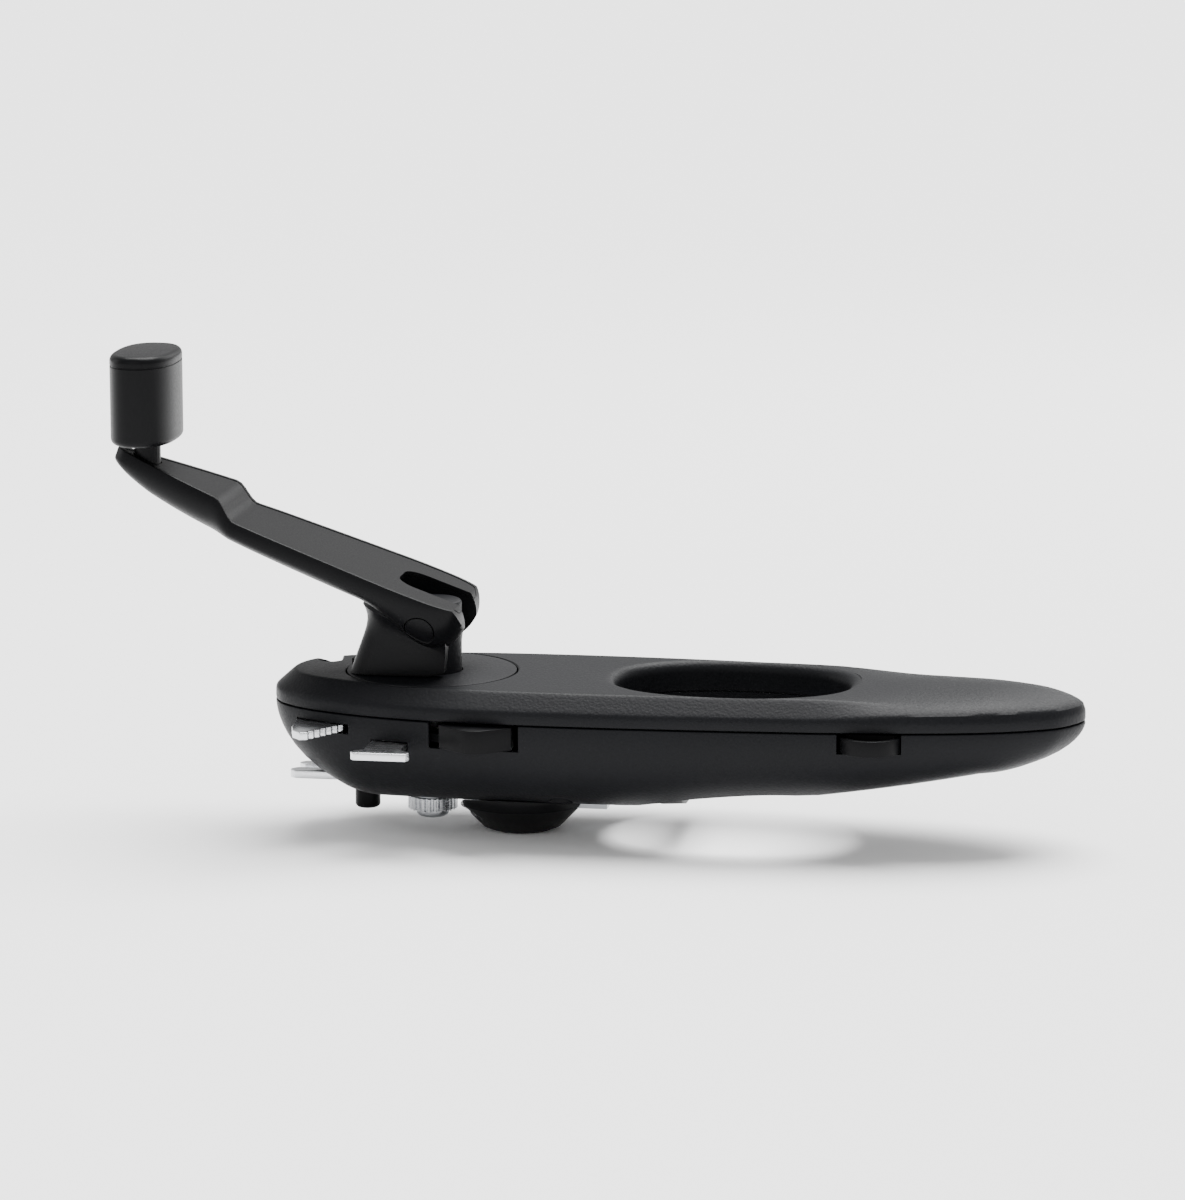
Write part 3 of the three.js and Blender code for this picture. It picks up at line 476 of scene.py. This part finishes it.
table_low, table_high = span("turntable")
SEAT_DEPTH, SEAT_FLOOR = 3.3, 2.5
seat_r = table_high.x + 0.35
cover = pillow("top_cover_shell", body_plan(), body_spine, crown_levels() + [
    level(0.22, shoulder + 0.1), level(0.06, shoulder - 0.35), level(0, shoulder - 1),
    level(0, parting + 0.5), level(0.1, parting + 0.15), level(0.4, parting), lid(parting)])
cover_cavity = pillow("cover_cavity", body_plan(WALL, 4), body_spine, crown_levels(WALL) + [
    level(0, shoulder - 2), level(0, parting - 2), lid(parting - 2)])
carve(cover_cavity, slab("rib", oval(RIB_WALL), parting, deck - 1),
      turned("rib", [(seat_r + WALL, deck - SEAT_DEPTH - SEAT_FLOOR), (seat_r + WALL, deck - 1)]),
      block("rib", *NOTCH_WALL, 19, parting, deck - 1))
carve(cover, cover_cavity, opening_tool(), notch_tool(),
      turned("seat", [(seat_r, deck - SEAT_DEPTH), (seat_r, deck - 0.3), (seat_r + 0.3, deck),
                      (seat_r + 0.3, deck + 2)], steps=160),
      turned("bore", [(SHAFT_HOLE_R, 20), (SHAFT_HOLE_R, deck)]))
settle(cover, grained_black, "body", "grained_black", "top_cover")

# ---- Lower housing ----
# The boat-shaped hull that carries the works, moulded in the same grained plastic as the cover.
# Its walls run round the opening, and slots let the blades, the jaws and the levers out.
HULL_TURNS = (6, 10, 15, 21, 28, 36, 45, 54, 63, 72, 81, 90)
KEEL_START, KEEL_RUN, KEEL_RISE = 50, 90, 11
BUSH_BOSS_R = 8.2
hull_top = span("base_housing")[1].z
hull_floor = span("base_housing")[0].z


def keel(x):
    return hull_floor + KEEL_RISE * max(0, (x - KEEL_START) / KEEL_RUN) ** 1.6


def hull_levels(down=0.0):
    """The hull's side, from its flat top down to its keel."""
    def depth_at(turn):
        share = 0.0 if turn == 90 else math.cos(math.radians(turn)) ** 0.8

        def height(px, r, mx, x):
            n = 1.8 + ease(x, nose, body_spine[0]) * (1 - ease(x, *body_spine[1:], tail))
            return hull_top - (hull_top - down - keel(mx)) * (1 - share ** n) ** (1 / n)
        return (lambda r: r * (1 - share)), height
    return [lid(hull_top), level(0.35, hull_top), level(0.08, hull_top - 0.12),
            level(0, hull_top - 0.45)] + [depth_at(t) for t in HULL_TURNS]


hull = pillow("lower_housing", body_plan(), body_spine, hull_levels())
hull_cavity = pillow("hull_cavity", body_plan(WALL, 4), body_spine,
                     [lid(hull_top + 1), level(0, hull_top + 1)] + hull_levels(WALL)[4:])
carve(hull_cavity, slab("rib", oval(RIB_WALL), 0, hull_top + 2),
      block("rib", *NOTCH_WALL, 30, 0, hull_top + 2),
      turned("rib", [(BUSH_BOSS_R, 0), (BUSH_BOSS_R, hull_floor + 4)]))
# The levers and blades pass through slots. OUTSIDE is a Y beyond the hull's blade side.
OUTSIDE = -40
LEVER_SLOT, JAW_BEND = (4.2, 27), (-24.3, -16.6)
CAP_NECK, JAW_HALF, SCREW_HOLE_R = 4.6, 6.6, 3.1
hull_screws = [span(f"case_screw_{i}") for i in range(1, 5)]
lever_low = span("jaw_lever")[0]
lifter_low, lifter_high = span("lid_lifter_plate")
cap_low, cap_high = span("cap_lifter")
jaw_low, jaw_high = span("fixed_jaw")
tab_low, tab_high = span("side_button")
cap_middle = (cap_low.x + cap_high.x) / 2
carve(hull, hull_cavity, slab("opening", oval(0), 0, 60), notch_tool(),
      block("slot", *LEVER_SLOT, OUTSIDE, -21, lever_low.z + 5.8, parting + 1),
      block("slot", lifter_low.x - GAP, lifter_high.x + GAP, OUTSIDE, -8,
            lifter_low.z - GAP, lifter_high.z + GAP),
      block("slot", cap_middle - CAP_NECK - GAP, cap_middle + CAP_NECK + GAP, OUTSIDE, -8,
            cap_low.z - GAP, cap_high.z + GAP),
      block("slot", -44, -19, -JAW_HALF, JAW_HALF, jaw_low.z - GAP, jaw_high.z + GAP),
      block("slot", *JAW_BEND, -JAW_HALF, JAW_HALF, jaw_low.z - GAP, span("moving_jaw")[1].z + GAP),
      block("slot", tab_low.x - GAP, tab_high.x + GAP, OUTSIDE, -17, tab_low.z - GAP, parting + 1),
      turned("bore", [(SHAFT_HOLE_R, 0), (SHAFT_HOLE_R, 40)]),
      *[turned("screw_hole", [(SCREW_HOLE_R, 0), (SCREW_HOLE_R, low.z + 2.4)],
               (low.x + high.x) / 2, (low.y + high.y) / 2, 48) for low, high in hull_screws])
settle(hull, grained_black, "body", "grained_black", "base_housing")

# ---- Crank turntable and post ----
# A disc that lies flush in the deck, with a rib that the arm's collar drops over, and the post
# that carries the arm's hinge. Both are grained plastic.
RIB_HALF, POST_TOP_ROUND, POST_BORE_R = 1.5, 0.9, 2.3
post_low, post_high = span("crank_post")
post_r = post_high.x
table = turned("turntable_disc", [
    (0.001, table_low.z), (table_high.x, table_low.z), (table_high.x, deck - 0.3),
    (table_high.x - 0.08, deck - 0.08), (table_high.x - 0.3, deck), (0.001, deck)], steps=160)
carve(table, block("rib", table_low.x + 1.2, -post_r - 0.4, -RIB_HALF, RIB_HALF, deck - 1, table_high.z),
      operation="UNION")
carve(table, turned("bore", [(post_r + GAP, 20), (post_r + GAP, 60)]),
      block("pocket", -15.4, -11.4, -5.2, -RIB_HALF - 0.6, deck - 1.6, deck + 1),
      block("pocket", -15.2, -11.6, RIB_HALF + 2, RIB_HALF + 2.5, deck - 1.2, deck + 1))
settle(table, grained_black, "crank", "grained_black", "turntable")
post_profile = [(0.001, post_low.z), (post_r, post_low.z)]
for i in range(7):
    turn = math.radians(15 * i)
    post_profile.append((post_r - POST_TOP_ROUND * (1 - math.cos(turn)),
                         post_high.z - POST_TOP_ROUND * (1 - math.sin(turn))))
post_profile.append((0.001, post_high.z))
post = turned("crank_post_round", post_profile)
pin_low, pin_high = span("hinge_pin")
hinge_z = (pin_low.z + pin_high.z) / 2


def cross_rod(name, r, y0, y1, z=0.0):
    """A rod across the body, on the hinge's line."""
    return stack(name, [[(px, y, z + pz) for px, pz in circle(r, steps=64)] for y in (y0, y1)])


carve(post, cross_rod("bore", POST_BORE_R, -20, 20, hinge_z))
settle(post, grained_black, "crank", "grained_black", "crank_post")

# ---- Crank arm ----
# A hollow arm, convex on one side, with a collar that grips the post. It is satin plastic, made
# along its own axis and tilted up about the hinge.
satin_black = moulded("satin_black_plastic", (0.002, 0.00205, 0.0023), (0.0042, 0.0043, 0.005),
                      rough=0.38, grain_mm=0.4, grain_depth=0.014, gloss=0.08)
ARM_SLOPE = math.radians(20)
ARM_LENGTH, ARM_HALF, HEEL = 90, 20, 10
COLLAR_END, HEEL_DEEP = 5.2, 6.5
RIM_NEAR, RIM_FAR, STEP_AT = 8, 12, 57
COLLAR_IN, COLLAR_WALL, COLLAR_CLOSED, COLLAR_CORNER = 8.2, 3.3, 10.8, 5
ARM_SHELL, BACK_DOWN, BACK_THICK = 1.7, 0.12, 1.2
RIM_ROUND, SIDE_RISE, SIDE_POWER = 0.35, 2.6, 2 / 2.3
KNOB_AT, STUD_BORE_R, PIN_BORE_R, PIN_CAP_R = 82, 3.65, 2.35, 3.7
ARM_LINES = ((0, 0), (0.003, 0.4), (0.012, 0.66), (0.035, 0.85), (0.08, 0.96), (0.179, 1), (0.302, 0.955),
             (0.497, 0.85), (0.59, 0.79), (0.692, 0.675), (0.795, 0.52), (0.897, 0.325), (0.955, 0.2),
             (0.985, 0.11), (1, 0))
arm_spine = (0, ARM_LENGTH - 12)
sin_slope, cos_slope = math.sin(ARM_SLOPE), math.cos(ARM_SLOPE)


def along_arm(points):
    """From arm coordinates (along, across, up) to millimetres about the crank's axis."""
    return [(-a * cos_slope + n * sin_slope, y, hinge_z + a * sin_slope + n * cos_slope)
            for a, y, n in points]


def tilt(piece):
    """Moves a piece that was built in arm coordinates to its place on the hinge."""
    for v in piece.data.vertices:
        a, y, n = (v.co.x - crank_x) / MM, v.co.y / MM, v.co.z / MM
        x, y, z = along_arm([(a, y, n)])[0]
        v.co = (x * MM + crank_x, y * MM, z * MM)
    return face_out(piece)


def arm_plan(inset=0.0):
    return plan(ARM_LINES, -HEEL, ARM_LENGTH + HEEL, ARM_HALF, inset)


def rim(a):
    """The height of the arm's flat side, which steps up towards the knob."""
    return RIM_NEAR + (RIM_FAR - RIM_NEAR) * ease(a, STEP_AT - 3.5, STEP_AT + 3.5)


def belly(a):
    """The height of the arm's convex side, which is deep at the heel and rises to the tip."""
    return 1.9 * max(0, a / 60) ** 2 + 2.4 * max(0, (a - 60) / 30) ** 2 - HEEL_DEEP * (1 - ease(a, -4, 18))


def arm_levels():
    """The arm's section, from its flat side round to the convex one."""
    def side(turn):
        share = 0.0 if turn == 90 else math.cos(math.radians(turn)) ** SIDE_POWER

        def height(px, r, mx, x):
            edge = rim(px) - SIDE_RISE
            return edge + (belly(min(px, ARM_LENGTH)) - edge) * math.sin(math.radians(turn)) ** SIDE_POWER
        return (lambda r: r * (1 - share)), height
    levels = [((lambda r, s=s: r * s), (lambda px, r, mx, x: rim(px))) for s in (1, 0.5, 0.2)]
    for inset, drop in ((RIM_ROUND, 0), (RIM_ROUND * 0.3, RIM_ROUND * 0.3), (0, RIM_ROUND)):
        levels.append(((lambda r, d=inset: d), (lambda px, r, mx, x, d=drop: rim(px) - d)))
    return levels + [side(t) for t in (0, 4, 9, 15, 22, 30, 38, 46, 54, 62, 70, 78, 85, 90)]


def arc(r, start, end, steps=24, x=0.0, y=0.0):
    turns = [math.radians(start + (end - start) * i / steps) for i in range(steps + 1)]
    return [(x + r * math.cos(t), y + r * math.sin(t)) for t in turns]


PAST_HEEL = -20


def u_outline(half, closed_at, corner):
    """A U that is open towards the arm's heel, with round corners at its closed end."""
    return ([(PAST_HEEL, -half)] + arc(corner, -90, 0, 10, closed_at - corner, -half + corner)
            + arc(corner, 0, 90, 10, closed_at - corner, half - corner) + [(PAST_HEEL, half)])


def side_slab(name, outline, half):
    """A prism on an outline in the arm's side view."""
    return stack(name, [[(a, y, n) for a, n in outline] for y in (-half, half)])


def rim_slice(name, inset, low, high):
    """A layer that follows the arm's flat side, between two heights above it."""
    piece = pillow(name, arm_plan(inset), arm_spine, [
        ((lambda r, f=f: r * f), (lambda px, r, mx, x, h=h: rim(px) + h))
        for f, h in ((1, high), (0, high), (0, low), (1, low))])
    return carve(piece, block("span", -HEEL, ARM_LENGTH, -30, 30, -30, 30), operation="INTERSECT")


face_distance = hinge_z - deck - GAP
collar_out, collar_back = COLLAR_IN + COLLAR_WALL, COLLAR_CLOSED + COLLAR_WALL


def foot(a):
    """The height of the deck's clearance under the collar, in arm coordinates."""
    return -(face_distance + sin_slope * a) / cos_slope


collar_r = hinge_z - deck - 0.4
heel_slab = [(-x, z) for x, z in arc(HEEL, -90, 90, 40)] + [
    (0.01, 2 * HEEL), (ARM_LENGTH + HEEL, 2 * HEEL), (ARM_LENGTH + HEEL, -2 * HEEL), (0.01, -2 * HEEL)]
crank_arm = pillow("crank_arm_shell", arm_plan(), arm_spine, arm_levels())
carve(crank_arm, side_slab("heel", heel_slab, ARM_HALF + 5), operation="INTERSECT")
# The collar flares where it grows out of the arm.
collar_rings = []
for n, flare in ((4, 3.0), (-0.5, 3.0), (-1.6, 1.9), (-2.8, 1.05),
                 (-4.2, 0.45), (-6, 0.12), (-8, 0), (-24, 0)):
    flared = u_outline(collar_out + flare, collar_back + flare, COLLAR_CORNER + flare)
    collar_rings.append([(a, y, n) for a, y in flared])
collar = stack("collar", collar_rings)
collar_turn = 270 - math.degrees(ARM_SLOPE)
collar_reach = COLLAR_END + 0.8
collar_side = ([(collar_back + 6, 3), (collar_back + 6, foot(collar_back + 6))]
               + arc(collar_r, collar_turn, collar_turn - math.degrees(math.asin(COLLAR_END / collar_r)), 12)
               + [(-3 * sin_slope - collar_reach * cos_slope, collar_reach * sin_slope - 3 * cos_slope),
                  (-4, RIM_NEAR - 0.5)])
carve(collar, side_slab("side", collar_side, 30), operation="INTERSECT")
carve(crank_arm, collar, operation="UNION")
carve(crank_arm, rim_slice("seat", ARM_SHELL, -BACK_THICK - 0.1, 2),
      slab("post_slot", u_outline(COLLAR_IN, COLLAR_CLOSED, COLLAR_CORNER), -40, 40),
      block("rib_slot", 9, collar_back + 7, -2, 2, -30, 1.2),
      cross_rod("pin_bore", PIN_BORE_R, -15.4, 15.4), cross_rod("cap_bore", PIN_CAP_R + GAP, -25, -14.8))

# The grip panel is let into the convex side, with a fine groove round it.
GRIP_LINES = ((0, 0), (0.008, 0.55), (0.05, 0.93), (0.13, 1), (0.35, 0.95), (0.6, 0.78), (0.8, 0.53),
              (0.93, 0.27), (1, 0))
GRIP_LENGTH, GRIP_HALF, GRIP_START, GRIP_DEEP, RIDGE = 52, 12.6, 15.5, 1, 0.95


def grip_tool(inset):
    """A prism on the grip panel's outline, through the arm's convex side."""
    half = plan(GRIP_LINES, GRIP_START, GRIP_LENGTH, GRIP_HALF, inset)
    return slab("grip_tool", half + [(x, -y) for x, y in half[-2:0:-1]], -12, 4)


def arm_blank(up):
    """The arm's solid shape without its collar, raised by some distance."""
    piece = pillow("arm_blank", arm_plan(), arm_spine, arm_levels())
    piece.data.transform(Matrix.Translation((0, 0, up * MM)))
    return piece


carve(crank_arm, carve(grip_tool(0), arm_blank(GRIP_DEEP)))
grip = carve(arm_blank(0), grip_tool(GAP), operation="INTERSECT")
# A second fine line runs inside the panel's edge, which leaves a narrow ridge between the two.
inner_line = carve(grip_tool(RIDGE), grip_tool(RIDGE + 0.3))
carve(grip, arm_blank(GRIP_DEEP - GAP), carve(inner_line, arm_blank(0.3)))


def knob_rod(name, r, z0, z1):
    """A rod on the knob's axis, in arm coordinates. The axis is upright when the crank is opened."""
    rings = []
    for z in (z0, z1):
        ring = []
        for x, y in circle(r, steps=48):
            ring.append((KNOB_AT - x * cos_slope + z * sin_slope, y, RIM_FAR + x * sin_slope + z * cos_slope))
        rings.append(ring)
    return stack(name, rings)


carve(crank_arm, knob_rod("stud_bore", STUD_BORE_R, -5.3, 20))
settle(tilt(crank_arm), satin_black, "arm", "satin_black", "crank_arm")
soft_grip = moulded("soft_grip_panel", (0.003, 0.0031, 0.0036), (0.0075, 0.0077, 0.0088),
                    rough=0.48, grain_mm=0.35, grain_depth=0.03, gloss=0.09)
settle(tilt(grip), soft_grip, "arm", "soft_grip", "arm_grip_panel")
back = rim_slice("arm_back", ARM_SHELL + GAP, -BACK_THICK, -BACK_DOWN)
carve(back, side_slab("heel", heel_slab, ARM_HALF + 5), operation="INTERSECT")
carve(back, slab("post_slot", u_outline(COLLAR_IN, COLLAR_CLOSED, COLLAR_CORNER), -40, 40),
      knob_rod("stud_bore", STUD_BORE_R, -5.3, 20))
settle(tilt(back), satin_black, "arm", "satin_black", "arm_back_plate")
pin_cap = carve(cross_rod("hinge_pin_cap", PIN_CAP_R, -23, -15.3), arm_blank(0), operation="INTERSECT")
settle(tilt(pin_cap), satin_black, "arm", "satin_black", "pin_cap")

# ---- Knob ----
# A tall oval paddle with softly rounded ends, which spins on a stud fixed in the arm's tip.
knob_low, knob_high = span("knob")
knob_x = (knob_low.x + knob_high.x) / 2
KNOB_ROUND, KNOB_POWER, KNOB_BORE_R = 1.7, 0.8, 3.7


def knob_ring(inset, z):
    """A level of the knob, whose plan is an oval with flattened sides."""
    return [(knob_x + (knob_high.x - knob_x - inset) * math.copysign(abs(px) ** KNOB_POWER, px),
             (knob_high.y - inset) * math.copysign(abs(py) ** KNOB_POWER, py), z)
            for px, py in circle(1, steps=112)]


knob_rings = []
for i in range(8):
    turn = math.radians(90 * i / 7)
    knob_rings.append(knob_ring(KNOB_ROUND * (1 - math.sin(turn)),
                                knob_low.z + KNOB_ROUND * (1 - math.cos(turn))))
# A fine line runs round the knob below its top.
for inset, down in ((0, 3.1), (0.2, 2.95), (0.2, 2.8), (0, 2.65)):
    knob_rings.append(knob_ring(inset, knob_high.z - down))
for i in range(8):
    turn = math.radians(90 * i / 7)
    knob_rings.append(knob_ring(KNOB_ROUND * (1 - math.cos(turn)),
                                knob_high.z - KNOB_ROUND * (1 - math.sin(turn))))
knob = stack("crank_knob", knob_rings)
carve(knob, turned("bore", [(KNOB_BORE_R, knob_low.z - 1), (KNOB_BORE_R, knob_low.z + 14.6)], knob_x, 0, 48))
settle(knob, satin_black, "knob", "satin_black", "knob")

# ---- Blades at the head ----
# Stamped stainless plates held between the shells: the serrated lid lifter, the T-shaped cap
# lifter and the two jaws of the lid pincer. Their edges are broken, and the steel is brushed.


def brushed(name, color, rough):
    """Steel with fine lines along X and faint handling marks."""
    material, shader, place = blank(name, Metallic=1.0)
    drawn = place.add("ShaderNodeMapping", {}, {"Vector": place, "Scale": (40, 3200, 3200)})
    lines = place.add("ShaderNodeTexNoise", {}, {"Vector": drawn, "Scale": 1.0, "Detail": 4.0})
    marks = place.add("ShaderNodeTexNoise", {}, {"Vector": place, "Scale": 1 / (6 * MM), "Detail": 3.0})
    dull = tuple(channel * 0.82 for channel in color)
    tone = place.add("ShaderNodeMix", {"data_type": "RGBA"},
                     {0: lines * 0.6 + marks * 0.4, 6: (*dull, 1), 7: (*color, 1)}, output=2)
    sheen = (lines - 0.5) * 0.22 + (marks - 0.5) * 0.12 + rough
    bump = place.add("ShaderNodeBump", {}, {"Height": lines, "Strength": 0.35, "Distance": 0.01 * MM})
    feed(place, shader, Base_Color=tone, Roughness=sheen, Normal=bump)
    return material


blade_steel = brushed("brushed_stainless", (0.72, 0.73, 0.75), 0.26)
dark_steel = brushed("plain_steel", (0.46, 0.47, 0.49), 0.34)


def refine(node, name, width_mm):
    """A finer copy of a CAD node, with its edges broken."""
    mesh = frame["nodes"][node].data.copy()
    mesh.name = name
    piece = bpy.data.objects.new(name, mesh)
    bpy.context.scene.collection.objects.link(piece)
    work = bmesh.new()
    work.from_mesh(mesh)
    bmesh.ops.remove_doubles(work, verts=work.verts, dist=1e-6)
    bmesh.ops.dissolve_limit(work, angle_limit=math.radians(1.0), verts=work.verts, edges=work.edges)
    work.to_mesh(mesh)
    work.free()
    edge = piece.modifiers.new("edge", "BEVEL")
    edge.width = width_mm * MM
    edge.segments = 3
    edge.angle_limit = math.radians(25)
    edge.harden_normals = False
    shape = bpy.data.meshes.new_from_object(piece.evaluated_get(bpy.context.evaluated_depsgraph_get()))
    piece.modifiers.clear()
    piece.data = shape
    return piece


for node, name, body in (
    ("lid_lifter_plate", "lid_lifter_blade", "body"),
    ("cap_lifter", "cap_lifter_blade", "body"),
    ("fixed_jaw", "fixed_jaw_blade", "body"),
    ("moving_jaw", "moving_jaw_blade", "jaw"),
):
    settle(refine(node, name, 0.22), blade_steel, body, "stainless", node)

# ---- Side levers, bar, foot and cutter housing ----
# Satin black mouldings: the pincer's tab, the thumb tab on the handle, the toothed bar across the
# opening that bites a screw cap, the foot that rides on the lid, and the round housing over the
# cutter.
for node, name, body, width in (
    ("jaw_lever", "pincer_lever", "jaw", 0.5),
    ("side_button", "thumb_tab", "button", 0.4),
    ("cap_grip_bar", "screw_cap_bar", "body", 0.35),
    ("guide_foot", "lid_foot", "body", 0.25),
    ("cutter_housing", "cutter_cover", "body", 0.4),
):
    settle(refine(node, name, width), satin_black, body, "satin_black", node)

# ---- Feed wheel and case screws ----
# The hardened steel wheel that grips the can's seam, with straight teeth, and the cross-headed
# screws that hold the hull to the cover from below. Both repeat one shape.


def rule(name, sizes):
    """A Geometry Nodes tree with named sizes, and a Wire on each of its inputs."""
    tree = bpy.data.node_groups.new(name, "GeometryNodeTree")
    tree.interface.new_socket("Geometry", in_out="OUTPUT", socket_type="NodeSocketGeometry")
    tree.interface.new_socket("Geometry", in_out="INPUT", socket_type="NodeSocketGeometry")
    for key, value in sizes.items():
        kind = "NodeSocketInt" if isinstance(value, int) else "NodeSocketFloat"
        tree.interface.new_socket(key, in_out="INPUT", socket_type=kind)
    entry = tree.nodes.new("NodeGroupInput")
    return tree, {key: Wire(tree, entry.outputs[key]) for key in ("Geometry", *sizes)}


def grown(name, tree, last, material, sizes, points=()):
    """The plain mesh that a tree makes, from points in millimetres about the crank's axis."""
    real = last.add("GeometryNodeRealizeInstances", {}, {0: last})
    done = real.add("GeometryNodeSetMaterial", {}, {"Geometry": real, "Material": material})
    tree.links.new(done.socket, tree.nodes.new("NodeGroupOutput").inputs["Geometry"])
    mesh = bpy.data.meshes.new(name)
    mesh.from_pydata([(x * MM + crank_x, y * MM, z * MM) for x, y, z in points], [], [])
    piece = bpy.data.objects.new(name, mesh)
    bpy.context.scene.collection.objects.link(piece)
    growth = piece.modifiers.new("growth", "NODES")
    growth.node_group = tree
    for item in tree.interface.items_tree:
        if item.in_out == "INPUT" and item.name in sizes:
            growth[item.identifier] = sizes[item.name]
    shape = bpy.data.meshes.new_from_object(piece.evaluated_get(bpy.context.evaluated_depsgraph_get()))
    piece.modifiers.clear()
    piece.data = shape
    return face_out(piece)


wheel_low, wheel_high = span("feed_wheel")
wheel_r = (wheel_high.x - wheel_low.x) / 2
wheel_sizes = {"Teeth": 26, "Radius": wheel_r * MM, "Tooth Depth": 0.75 * MM,
               "Height": (wheel_high.z - wheel_low.z) * MM, "Centre": crank_x, "Low": wheel_low.z * MM}
tree, size = rule("toothed_wheel", wheel_sizes)
outline = size["Geometry"].add("GeometryNodeCurvePrimitiveCircle", {"mode": "RADIUS"},
                               {"Resolution": size["Teeth"] * 4, "Radius": size["Radius"]})
index = outline.add("GeometryNodeInputIndex", {}, {})
corner = outline.add("ShaderNodeMath", {"operation": "MODULO"}, {0: index, 1: 4.0})
valley = outline.add("ShaderNodeMath", {"operation": "LESS_THAN"}, {0: corner, 1: 1.5})
share = outline.add("ShaderNodeMath", {"operation": "DIVIDE"}, {0: size["Tooth Depth"], 1: size["Radius"]})
spot = outline.add("GeometryNodeInputPosition", {}, {})
cut = spot.add("ShaderNodeVectorMath", {"operation": "SCALE"}, {0: spot, "Scale": valley * share * -1})
toothed = outline.add("GeometryNodeSetPosition", {}, {"Geometry": outline, "Offset": cut})
face = toothed.add("GeometryNodeFillCurve", {"mode": "NGONS"}, {"Curve": toothed})
raised = face.add("GeometryNodeExtrudeMesh", {},
                  {"Mesh": face, "Offset Scale": size["Height"], "Individual": False})
under = face.add("GeometryNodeFlipFaces", {}, {"Mesh": face})
both = face.add("GeometryNodeJoinGeometry", {}, {})
tree.links.new(raised.socket, both.socket.node.inputs[0])
tree.links.new(under.socket, both.socket.node.inputs[0])
whole = both.add("GeometryNodeMergeByDistance", {}, {"Geometry": both, "Distance": 1e-6})
seat = whole.add("ShaderNodeCombineXYZ", {}, {"X": size["Centre"], "Z": size["Low"]})
placed = whole.add("GeometryNodeTransform", {}, {"Geometry": whole, "Translation": seat})
wheel = grown("toothed_feed_wheel", tree, placed, blade_steel, wheel_sizes)
bore_r = span("drive_shaft")[1].x + 0.1
carve(wheel, turned("bore", [(bore_r, wheel_low.z - 1), (bore_r, wheel_high.z + 1)]))
settle(wheel, blade_steel, "crank", "stainless", "feed_wheel")

screw_low, screw_high = hull_screws[0]
SHANK_R, HEAD_HEIGHT = 1.5, 2.1
screw_sizes = {"Head Radius": (screw_high.x - screw_low.x) / 2 * MM, "Head Height": HEAD_HEIGHT * MM,
               "Shank Radius": SHANK_R * MM, "Length": (screw_high.z - screw_low.z) * MM,
               "Slot": 0.7 * MM, "Slot Length": 3.4 * MM, "Slot Depth": 1.1 * MM}
tree, size = rule("cross_head_screws", screw_sizes)
start = size["Geometry"]


def lifted(wire, height):
    rise = wire.add("ShaderNodeCombineXYZ", {}, {"Z": height})
    return wire.add("GeometryNodeTransform", {}, {"Geometry": wire, "Translation": rise})


head = lifted(start.add("GeometryNodeMeshCylinder", {}, {
    "Vertices": 32, "Radius": size["Head Radius"], "Depth": size["Head Height"]}), size["Head Height"] * 0.5)
shank = lifted(start.add("GeometryNodeMeshCylinder", {}, {
    "Vertices": 20, "Radius": size["Shank Radius"], "Depth": size["Length"]}), size["Length"] * 0.5)
slots = []
for wide, deep in (("Slot", "Slot Length"), ("Slot Length", "Slot")):
    bar = start.add("ShaderNodeCombineXYZ", {},
                    {"X": size[wide], "Y": size[deep], "Z": size["Slot Depth"] * 2})
    slots.append(start.add("GeometryNodeMeshCube", {}, {"Size": bar}))
body_of_screw = start.add("GeometryNodeMeshBoolean", {"operation": "UNION"}, {})
for part in (head, shank):
    tree.links.new(part.socket, body_of_screw.socket.node.inputs["Mesh 2"])
crossed = start.add("GeometryNodeMeshBoolean", {"operation": "DIFFERENCE"}, {"Mesh 1": body_of_screw})
for slot in slots:
    tree.links.new(slot.socket, crossed.socket.node.inputs["Mesh 2"])
screws_out = start.add("GeometryNodeInstanceOnPoints", {}, {"Points": start, "Instance": crossed})
screws = grown("case_screws", tree, screws_out, dark_steel, screw_sizes,
               [((low.x + high.x) / 2, (low.y + high.y) / 2, low.z) for low, high in hull_screws])
settle(screws, dark_steel, "body", "plain_steel", *[f"case_screw_{i}" for i in range(1, 5)])
settle(refine("feed_wheel_screw", "wheel_screw", 0.12), dark_steel, "crank", "plain_steel",
       "feed_wheel_screw")

# ---- Works under and inside the hull ----
# The turned and stamped steel parts and the plain bushes keep their exact shapes.
acetal, acetal_shader, acetal_place = blank("white_acetal", Roughness=0.42)
acetal_cloud = acetal_place.add("ShaderNodeTexNoise", {},
                                {"Vector": acetal_place, "Scale": 1 / (3 * MM), "Detail": 2.0})
acetal_tone = acetal_place.add("ShaderNodeMix", {"data_type": "RGBA"}, {
    0: acetal_cloud, 6: (0.6, 0.58, 0.52, 1), 7: (0.72, 0.7, 0.64, 1)}, output=2)
feed(acetal_place, acetal_shader, Base_Color=acetal_tone)
SLOT_MATERIALS = {"stainless": blade_steel, "plain_steel": dark_steel, "spring_steel": dark_steel,
                  "acetal": acetal, "satin_black": satin_black, "grained_black": grained_black,
                  "soft_grip": soft_grip}
slot_of = {row["node"]: row["material_slot"] for row in frame["record"]["subparts"]}
for node, shown in frame["nodes"].items():
    if shown.hide_render:
        continue
    shown.data.materials.clear()
    shown.data.materials.append(SLOT_MATERIALS[slot_of[node]])
    for polygon in shown.data.polygons:
        polygon.material_index = 0
